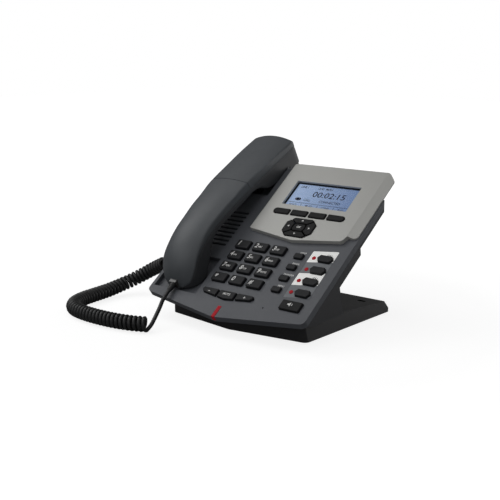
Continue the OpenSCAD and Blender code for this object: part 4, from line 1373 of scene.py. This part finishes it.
def bar_row(
    name: str, count: int, pitch: Point, size: Point, rounding: float, finish: Finish
) -> bpy.types.Mesh:
    """A row of rounded bars made by Geometry Nodes, in millimetres about the first bar's middle.

    Args:
        name: The tree's name.
        count: How many bars.
        pitch: Step from one bar to the next.
        size: Each bar's size.
        rounding: Radius of the bars' edges.
        finish: Their finish.

    Returns:
        The row as a mesh, in millimetres.
    """
    tree = Tree(name, {"Count": count, "Pitch": pitch, "Size": size, "Finish": finish})
    graph = tree.graph
    line = graph.add("GeometryNodeMeshLine", mode="OFFSET")
    graph.join(tree.inside.outputs["Count"], line.inputs["Count"])
    graph.join(tree.inside.outputs["Pitch"], line.inputs["Offset"])
    cube = graph.add("GeometryNodeMeshCube")
    graph.join(tree.inside.outputs["Size"], cube.inputs["Size"])
    place = graph.add("GeometryNodeInstanceOnPoints")
    graph.join(line.outputs[0], place.inputs["Points"])
    graph.join(cube.outputs[0], place.inputs["Instance"])
    tree.end(place.outputs[0], "Finish")
    mesh = tree.run()
    bm = bmesh.new()
    bm.from_mesh(mesh)
    bpy.data.meshes.remove(mesh)
    if rounding > 0:
        bmesh.ops.bevel(bm, geom=list(bm.edges), offset=rounding, segments=2, profile=0.5, affect="EDGES",
                        clamp_overlap=True)
    return to_mesh(bm, name)


def screw_set(places: Sequence[tuple[Vector, Vector]]) -> bpy.types.Mesh:
    """Pan-head screws with cross recesses, made by Geometry Nodes on given places.

    Args:
        places: For each screw, the middle of its head's outer face and the way that the face looks,
            in metres in the row frame.

    Returns:
        The screws as one mesh, in the row frame.
    """
    bm = bmesh.new()
    layer = bm.verts.layers.float_vector.new("facing")
    for place, facing in places:
        bm.verts.new(place)[layer] = facing
    seed = bpy.data.meshes.new("screw_places")
    bm.to_mesh(seed)
    bm.free()
    tree = Tree("cross_screws", {
        "Head Radius": 0.0028, "Head Height": 0.0016, "Shank Radius": 0.0014, "Shank Length": 0.0042,
        "Recess": 0.0034, "Recess Width": 0.0007, "Recess Depth": 0.0018, "Finish": Finish.SCREW,
    })
    graph, given = tree.graph, tree.inside.outputs

    def rod(radius: str, depth: str, sides: int, shift: float) -> bpy.types.NodeSocket:
        """A rod whose outer end is at z = shift, pointing down."""
        node = graph.add("GeometryNodeMeshCylinder", Vertices=sides)
        graph.join(given[radius], node.inputs["Radius"])
        graph.join(given[depth], node.inputs["Depth"])
        move = graph.add("GeometryNodeTransform")
        offset = graph.add("ShaderNodeCombineXYZ")
        graph.join(graph.math("ADD", graph.math("MULTIPLY", given[depth], -0.5), shift), offset.inputs["Z"])
        graph.join(node.outputs["Mesh"], move.inputs["Geometry"])
        graph.join(offset.outputs[0], move.inputs["Translation"])
        return move.outputs[0]

    def slot(along: int) -> bpy.types.NodeSocket:
        """One slot of the cross, as a block to cut away."""
        size = graph.add("ShaderNodeCombineXYZ")
        graph.join(given["Recess"], size.inputs[along])
        graph.join(given["Recess Width"], size.inputs[1 - along])
        graph.join(given["Recess Depth"], size.inputs[2])
        cube = graph.add("GeometryNodeMeshCube")
        graph.join(size.outputs[0], cube.inputs["Size"])
        return cube.outputs[0]

    cut = graph.add("GeometryNodeMeshBoolean", operation="DIFFERENCE", solver="EXACT")
    graph.join(rod("Head Radius", "Head Height", 20, 0.0), cut.inputs["Mesh 1"])
    graph.join(slot(0), cut.inputs["Mesh 2"])
    graph.join(slot(1), cut.inputs["Mesh 2"])
    whole = graph.add("GeometryNodeJoinGeometry")
    graph.join(cut.outputs[0], whole.inputs[0])
    graph.join(rod("Shank Radius", "Shank Length", 12, -0.0015), whole.inputs[0])
    facing = graph.add("GeometryNodeInputNamedAttribute", data_type="FLOAT_VECTOR", Name="facing")
    turn = graph.add("FunctionNodeAlignRotationToVector", axis="Z")
    graph.join(facing.outputs[0], turn.inputs["Vector"])
    place_on = graph.add("GeometryNodeInstanceOnPoints")
    graph.join(tree.inside.outputs["Geometry"], place_on.inputs["Points"])
    graph.join(whole.outputs[0], place_on.inputs["Instance"])
    graph.join(turn.outputs[0], place_on.inputs["Rotation"])
    tree.end(place_on.outputs[0], "Finish")
    return smooth(tree.run(seed))


def painted_hole_discs(name: str, ring: int, row: int, pitch: float, hole: float, finish: Finish) -> bpy.types.Mesh:
    """Dark discs in a row, and in a ring about its middle, made by Geometry Nodes: painted shade that stands
    in for small round holes.

    Args:
        name: The tree's name.
        ring: How many holes the ring has, or 0 for no ring.
        row: How many holes the row has.
        pitch: The row's pitch and the ring's radius, in millimetres.
        hole: Radius of each hole.
        finish: Finish of the dark discs, which paint the holes' shade.

    Returns:
        The dark discs, thin and about z = 0, in millimetres.
    """
    tree = Tree(name, {
        "Row": row, "Start": (-pitch * (row - 1) / 2, 0, 0), "Step": (pitch, 0, 0), "Ring Radius": pitch,
        "Hole Radius": hole, "Depth": 0.12, "Finish": finish,
    })
    graph, given = tree.graph, tree.inside.outputs
    disc = graph.add("GeometryNodeMeshCylinder", Vertices=14)
    graph.join(given["Hole Radius"], disc.inputs["Radius"])
    graph.join(given["Depth"], disc.inputs["Depth"])
    line = graph.add("GeometryNodeMeshLine", mode="OFFSET")
    graph.join(given["Row"], line.inputs["Count"])
    graph.join(given["Start"], line.inputs["Start Location"])
    graph.join(given["Step"], line.inputs["Offset"])
    centres = [line.outputs[0]]
    if ring:
        circle = graph.add("GeometryNodeMeshCircle", Vertices=ring)
        graph.join(given["Ring Radius"], circle.inputs["Radius"])
        centres.append(circle.outputs[0])
    whole = graph.add("GeometryNodeJoinGeometry")
    for places in centres:
        place = graph.add("GeometryNodeInstanceOnPoints")
        graph.join(places, place.inputs["Points"])
        graph.join(disc.outputs["Mesh"], place.inputs["Instance"])
        graph.join(place.outputs[0], whole.inputs[0])
    tree.end(whole.outputs[0], "Finish")
    return tree.run()


# ---------------------------------------------------------------- body


@dataclass
class Details:
    """Small repeated parts: screws, vent ribs, socket contacts, and dark discs painted as the shade of the
    handset's sound holes.
    """

    case_screw_x: float = 83.0
    case_screw_rows: Sequence[Flat] = ((-20.55, 48.86), (24.65, 88.64))
    stand_screw: Point = (40.0, -40.4, 16.4)
    vent_places: Sequence[tuple[str, Point]] = (
        ("vent_ribs_left", (-34.0, 84.0, -20.0)), ("vent_ribs_right", (34.0, 84.0, -20.0)),
    )
    vent_count: int = 10
    vent_size: Point = (56.0, 2.2, 2.6)
    vent_pitch: float = 4.8
    vent_edge: float = 0.3
    contact_rows: Sequence[Point] = ((-7.57, -27.0, 26.3), (14.43, -27.0, 26.3))
    contact_count: int = 8
    contact_size: Point = (0.5, 7.0, 0.4)
    contact_pitch: float = 1.02
    contact_edge: float = 0.1
    hole_disc_groups: Sequence[tuple[str, float, int, int, float, float]] = (
        ("ear_hole_shade_discs", 149.6, 6, 1, 5.0, 1.0), ("mouth_hole_shade_discs", 12.5, 0, 3, 4.0, 0.8),
    )

    def screws(self) -> None:
        """The screws that hold the case together from below."""
        down = Vector((0, 0, -1))
        slope = (PANEL.matrix.to_3x3() @ down).normalized()
        places = [
            (Vector((side * self.case_screw_x, y, z)) * MM, slope)
            for y, z in self.case_screw_rows for side in (-1, 1)
        ]
        x, y, z = self.stand_screw
        places += [(Vector((side * x, y, z)) * MM, down) for side in (-1, 1)]
        put("cross_screws", screw_set(places), [Finish.SCREW], "base", ["case_screws"])

    def vents(self) -> None:
        """The vent ribs on the back."""
        step = (0, self.vent_pitch, 0)
        for name, place in self.vent_places:
            row = bar_row(name, self.vent_count, step, self.vent_size, self.vent_edge, Finish.REAR)
            row.transform(PANEL.matrix @ Matrix.Translation(place))
            put(name, row, [Finish.REAR], "base")

    def contacts(self) -> None:
        """The gold contacts in the two network sockets."""
        step = (self.contact_pitch, 0, 0)
        rows = []
        for place in self.contact_rows:
            row = bar_row(
                "contacts", self.contact_count, step, self.contact_size, self.contact_edge, Finish.GOLD
            )
            row.transform(Matrix.Scale(MM, 4) @ Matrix.Translation(place))
            rows.append((row, 0))
        put("socket_contacts", merged(rows, "socket_contacts"), [Finish.GOLD], "base")

    def holes(self) -> None:
        """Dark discs on the handset's front cover: painted shade in place of its sound holes."""
        handset = Handset()
        for name, s, ring, row, pitch, hole in self.hole_disc_groups:
            # Black discs, not cut holes: painted shade for the sound holes.
            mesh = painted_hole_discs(name, ring, row, pitch, hole, Finish.BLACK)
            slope = math.atan2(handset.under_at(s + 1) - handset.under_at(s - 1), 2)
            place = Matrix.Translation((handset.middle_u, handset.start_v + s, handset.under_at(s)))
            mesh.transform(PANEL.matrix @ place @ Matrix.Rotation(slope, 4, "X"))
            put(name, smooth(mesh), [Finish.BLACK], "handset")

    def build(self) -> None:
        """Builds all of the details."""
        self.screws()
        self.vents()
        self.contacts()
        self.holes()


@dataclass
class Body:
    """The stand, the two halves of the case and what is fixed to them.

    Attributes:
        edge: Rounding of the moulded edges.
        finishes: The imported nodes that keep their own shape, with their finishes.
        rounded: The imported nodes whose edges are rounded, with their finishes and slots.
    """

    edge: float = 0.45
    finishes: dict[str, Finish] = field(default_factory=lambda: {
        "lcd_module": Finish.CELL, "main_board": Finish.BOARD, "key_mat": Finish.RUBBER,
        "display_lens": Finish.LENS, "line_lamps": Finish.RED_LENS, "label_card": Finish.CARD,
        "loudspeaker": Finish.BLACK, "base_microphone": Finish.PART, "stand_feet": Finish.FOOT,
        "handset_weight": Finish.WEIGHT, "earpiece_receiver": Finish.PART, "handset_microphone": Finish.PART,
        "handset_plug": Finish.PLUG, "base_plug": Finish.PLUG, "message_lamp": Finish.RED_LENS,
        "rear_sockets": Finish.SOCKET, "handset_jack": Finish.SOCKET, "hook_switch": Finish.SOCKET,
    })
    rounded: Sequence[tuple[str, Finish, str]] = (
        ("top_case", Finish.SLATE, "slate_plastic"),
        ("rear_case", Finish.REAR, "rear_plastic"),
        ("stand_base", Finish.STAND, "stand_plastic"),
        ("display_bezel", Finish.SILVER, "silver_plastic"),
    )

    def dress_nodes(self) -> None:
        """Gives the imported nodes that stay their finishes."""
        for node, finish in self.finishes.items():
            data = frame["nodes"][node].data
            if not data.materials:
                data.materials.append(finish.value.material())
            for slot in frame["nodes"][node].material_slots:
                slot.material = finish.value.material()

    def build_cases(self) -> None:
        """Makes the rounded copies of the case's parts."""
        for node, finish, slot in self.rounded:
            put(node + "_shell", softened(node, self.edge), [finish], "base", [node])

    def build(self) -> None:
        """Builds the body."""
        self.dress_nodes()
        self.build_cases()


@dataclass
class Display:
    """What the display shows, and the dark mask around it."""

    window: Flat = (27.0, 150.7)
    size: Flat = (71.0, 31.0)
    cell_top: float = 0.7
    mask: float = 1.1

    def mask_frame(self) -> None:
        """The dark frame between the cell and the lens."""
        outer = (self.size[0] / 2 + 1.2, self.size[1] / 2 + 1.2)
        inner = (self.size[0] / 2 - self.mask, self.size[1] / 2 - self.mask)
        rings = []
        for size, level in ((outer, 0.02), (outer, 0.26), (inner, 0.26), (inner, 0.02)):
            rings.append([
                PANEL.point(self.window[0] + x * size[0], self.window[1] + y * size[1], self.cell_top + level)
                for x, y in ((1, 1), (-1, 1), (-1, -1), (1, -1))
            ])
        bm = loft([*rings, rings[0]], caps=False)
        bmesh.ops.remove_doubles(bm, verts=bm.verts, dist=1e-6)
        bmesh.ops.recalc_face_normals(bm, faces=bm.faces)
        put("display_mask", to_mesh(bm, "display_mask"), [Finish.MASK], "base")

    def build(self) -> None:
        """Builds the mask and the signs on the display."""
        self.mask_frame()
        left = self.window[0] - self.size[0] / 2
        low = self.window[1] - self.size[1] / 2
        level = self.cell_top + 0.01
        rows = (
            ("LINE 1", 2.6, (left + 5, low + 26.6), "LEFT", 0.9),
            ("12:45  MON", 2.6, (left + 24, low + 26.6), "LEFT", 0.9),
            ("00:02:15", 6.8, (left + 41, low + 18.6), "CENTER", 1.12),
            ("CALL", 2.6, (left + 17, low + 10.6), "LEFT", 0.9),
            ("CONNECTED", 2.9, (left + 34, low + 10.6), "LEFT", 0.95),
            ("HOLD", 2.4, (left + 9, low + 3.4), "CENTER", 0.9),
            ("MUTE", 2.4, (left + 27, low + 3.4), "CENTER", 0.9),
            ("CONF", 2.4, (left + 45, low + 3.4), "CENTER", 0.9),
            ("END", 2.4, (left + 62, low + 3.4), "CENTER", 0.9),
        )
        parts = [
            (Lettering.mesh(text, height, place, level, 0.0, align, stretch, 0.01), 0)
            for text, height, place, align, stretch in rows
        ]
        for u in (18.0, 36.0, 54.0):
            parts.append((Lettering.outline(
                ((-0.2, -2.2), (0.2, -2.2), (0.2, 2.2), (-0.2, 2.2)), (left + u, low + 3.4), level), 0))
        parts.append((Lettering.outline(
            ((-33.5, -0.2), (33.5, -0.2), (33.5, 0.2), (-33.5, 0.2)), (left + 35.5, low + 6.6), level), 0))
        receiver = [(3.4 * math.cos(a), 1.9 * math.sin(a)) for a in (math.pi * k / 8 for k in range(16))]
        parts.append((Lettering.outline(receiver, (left + 10.5, low + 11), level), 0))
        put("display_segments", merged(parts, "display_segments"), [Finish.SEGMENT], "base")


# ---------------------------------------------------------------- studio


@dataclass
class Studio:
    """The camera, the floor and the lamps."""

    camera_place: Point = (0.5417, -0.6866, 0.2492)
    turn: float = math.radians(39.79)
    rise: float = math.radians(12.16)
    lens: float = 70.74
    floor_size: float = 6.0
    # Rectangle round the stand (axis, middle, half width in metres) where the floor's glow is cut out: a
    # painted shadow.
    stand_shade: Sequence[tuple[str, float, float]] = (("X", 0.0, 0.074), ("Y", 0.0115, 0.06))
    world_light: float = 0.12
    lamps: Sequence[tuple[str, Point, float, float]] = (
        ("key_light", (-0.72, -0.25, 0.9), 0.75, 3.5),
        ("top_light", (0.12, -0.22, 1.2), 0.7, 1.4),
        ("front_light", (-0.3, -1.1, 0.7), 1.0, 2.8),
        ("side_fill", (1.0, -0.7, 0.5), 1.0, 1.2),
        ("back_light", (0.6, 1.2, 0.36), 1.0, 6.0),
    )

    def camera(self) -> None:
        """Makes the camera."""
        data = bpy.data.cameras.new("camera")
        data.lens = self.lens
        data.sensor_width = 36.0
        data.clip_start = 0.01
        camera = bpy.data.objects.new("camera", data)
        bpy.context.scene.collection.objects.link(camera)
        back = Vector((
            math.sin(self.turn) * math.cos(self.rise),
            -math.cos(self.turn) * math.cos(self.rise),
            math.sin(self.rise),
        ))
        camera.rotation_mode = "QUATERNION"
        camera.rotation_quaternion = back.to_track_quat("Z", "Y")
        camera.location = self.camera_place
        bpy.context.scene.camera = camera

    @staticmethod
    def seen(graph: Graph) -> bpy.types.NodeSocket:
        """1 for camera and transmitted rays, else 0."""
        path = graph.add("ShaderNodeLightPath").outputs
        return graph.math("MAXIMUM", path["Is Camera Ray"], path["Is Transmission Ray"])

    def floor(self) -> None:
        """A plain pale floor that shows white and keeps a soft shadow, with a painted shadow in a rectangle
        round the stand, where its glow is cut out.
        """
        half = self.floor_size / 2
        mesh = bpy.data.meshes.new("floor")
        corners = [(-half, -half, 0), (half, -half, 0), (half, half, 0), (-half, half, 0)]
        mesh.from_pydata(corners, [], [(0, 1, 2, 3)])
        floor = bpy.data.objects.new("floor", mesh)
        floor.location.z = -0.0002
        bpy.context.scene.collection.objects.link(floor)
        material = bpy.data.materials.new("floor")
        material.use_nodes = True
        graph = Graph(material.node_tree)
        diffuse = graph.add("ShaderNodeBsdfDiffuse", Color=(0.3, 0.3, 0.3, 1))
        glow = graph.add("ShaderNodeEmission", Color=(1, 1, 1, 1))
        place = graph.add("ShaderNodeTexCoord").outputs["Object"]
        distance = graph.add("ShaderNodeVectorMath", operation="LENGTH")
        graph.join(place, distance.inputs[0])
        outward = graph.add("ShaderNodeMapRange", From_Min=0.2, From_Max=0.5, To_Min=0.84, To_Max=1.0)
        graph.join(distance.outputs["Value"], outward.inputs["Value"])
        axes = graph.add("ShaderNodeSeparateXYZ")
        graph.join(place, axes.inputs[0])
        shares = []
        for axis, middle, reach in self.stand_shade:
            offset = graph.math("ABSOLUTE", graph.math("SUBTRACT", axes.outputs[axis], middle))
            shares.append(graph.math("GREATER_THAN", offset, reach))
        # Inside the rectangle round the stand the glow is cut to nothing, so the floor there shows darker: a
        # painted shadow.
        outside_painted_shadow = graph.math("MAXIMUM", *shares)
        lit = graph.math("MULTIPLY", outward.outputs[0], outside_painted_shadow)
        graph.join(graph.math("MULTIPLY", self.seen(graph), lit), glow.inputs["Strength"])
        both = graph.add("ShaderNodeAddShader")
        graph.join(diffuse.outputs[0], both.inputs[0])
        graph.join(glow.outputs[0], both.inputs[1])
        graph.join(both.outputs[0], graph.add("ShaderNodeOutputMaterial").inputs["Surface"])
        mesh.materials.append(material)

    def world(self) -> None:
        """A white background whose light on the telephone is weak."""
        world = bpy.data.worlds.new("studio")
        world.use_nodes = True
        graph = Graph(world.node_tree)
        back = graph.add("ShaderNodeBackground", Color=(1, 1, 1, 1))
        graph.join(graph.span(self.seen(graph), self.world_light, 1.0), back.inputs["Strength"])
        graph.join(back.outputs[0], graph.add("ShaderNodeOutputWorld").inputs["Surface"])
        bpy.context.scene.world = world

    def lights(self) -> None:
        """The soft lamps."""
        for name, place, size, power in self.lamps:
            data = bpy.data.lights.new(name, "AREA")
            data.shape = "SQUARE"
            data.size = size
            data.energy = power
            lamp = bpy.data.objects.new(name, data)
            lamp.location = place
            aim = Vector((0, 0, 0.06)) - Vector(place)
            lamp.rotation_mode = "QUATERNION"
            lamp.rotation_quaternion = aim.to_track_quat("-Z", "Y")
            bpy.context.scene.collection.objects.link(lamp)

    def build(self) -> None:
        """Builds the studio."""
        bpy.context.scene.view_settings.view_transform = "Standard"
        self.camera()
        self.floor()
        self.world()
        self.lights()


def main() -> None:
    """Builds the studio and the telephone's parts in order."""
    logging.basicConfig(level=logging.INFO, format="%(name)s: %(message)s")
    Studio().build()
    cord = CurlyCord()
    cord.build_main()
    cord.build_tail()
    cord.strain_reliefs()
    Body().build()
    Details().build()
    Handset().build()
    keys = KeyField()
    keys.build()
    keys.panel_signs()
    Display().build()


if __name__ == "__main__":
    main()
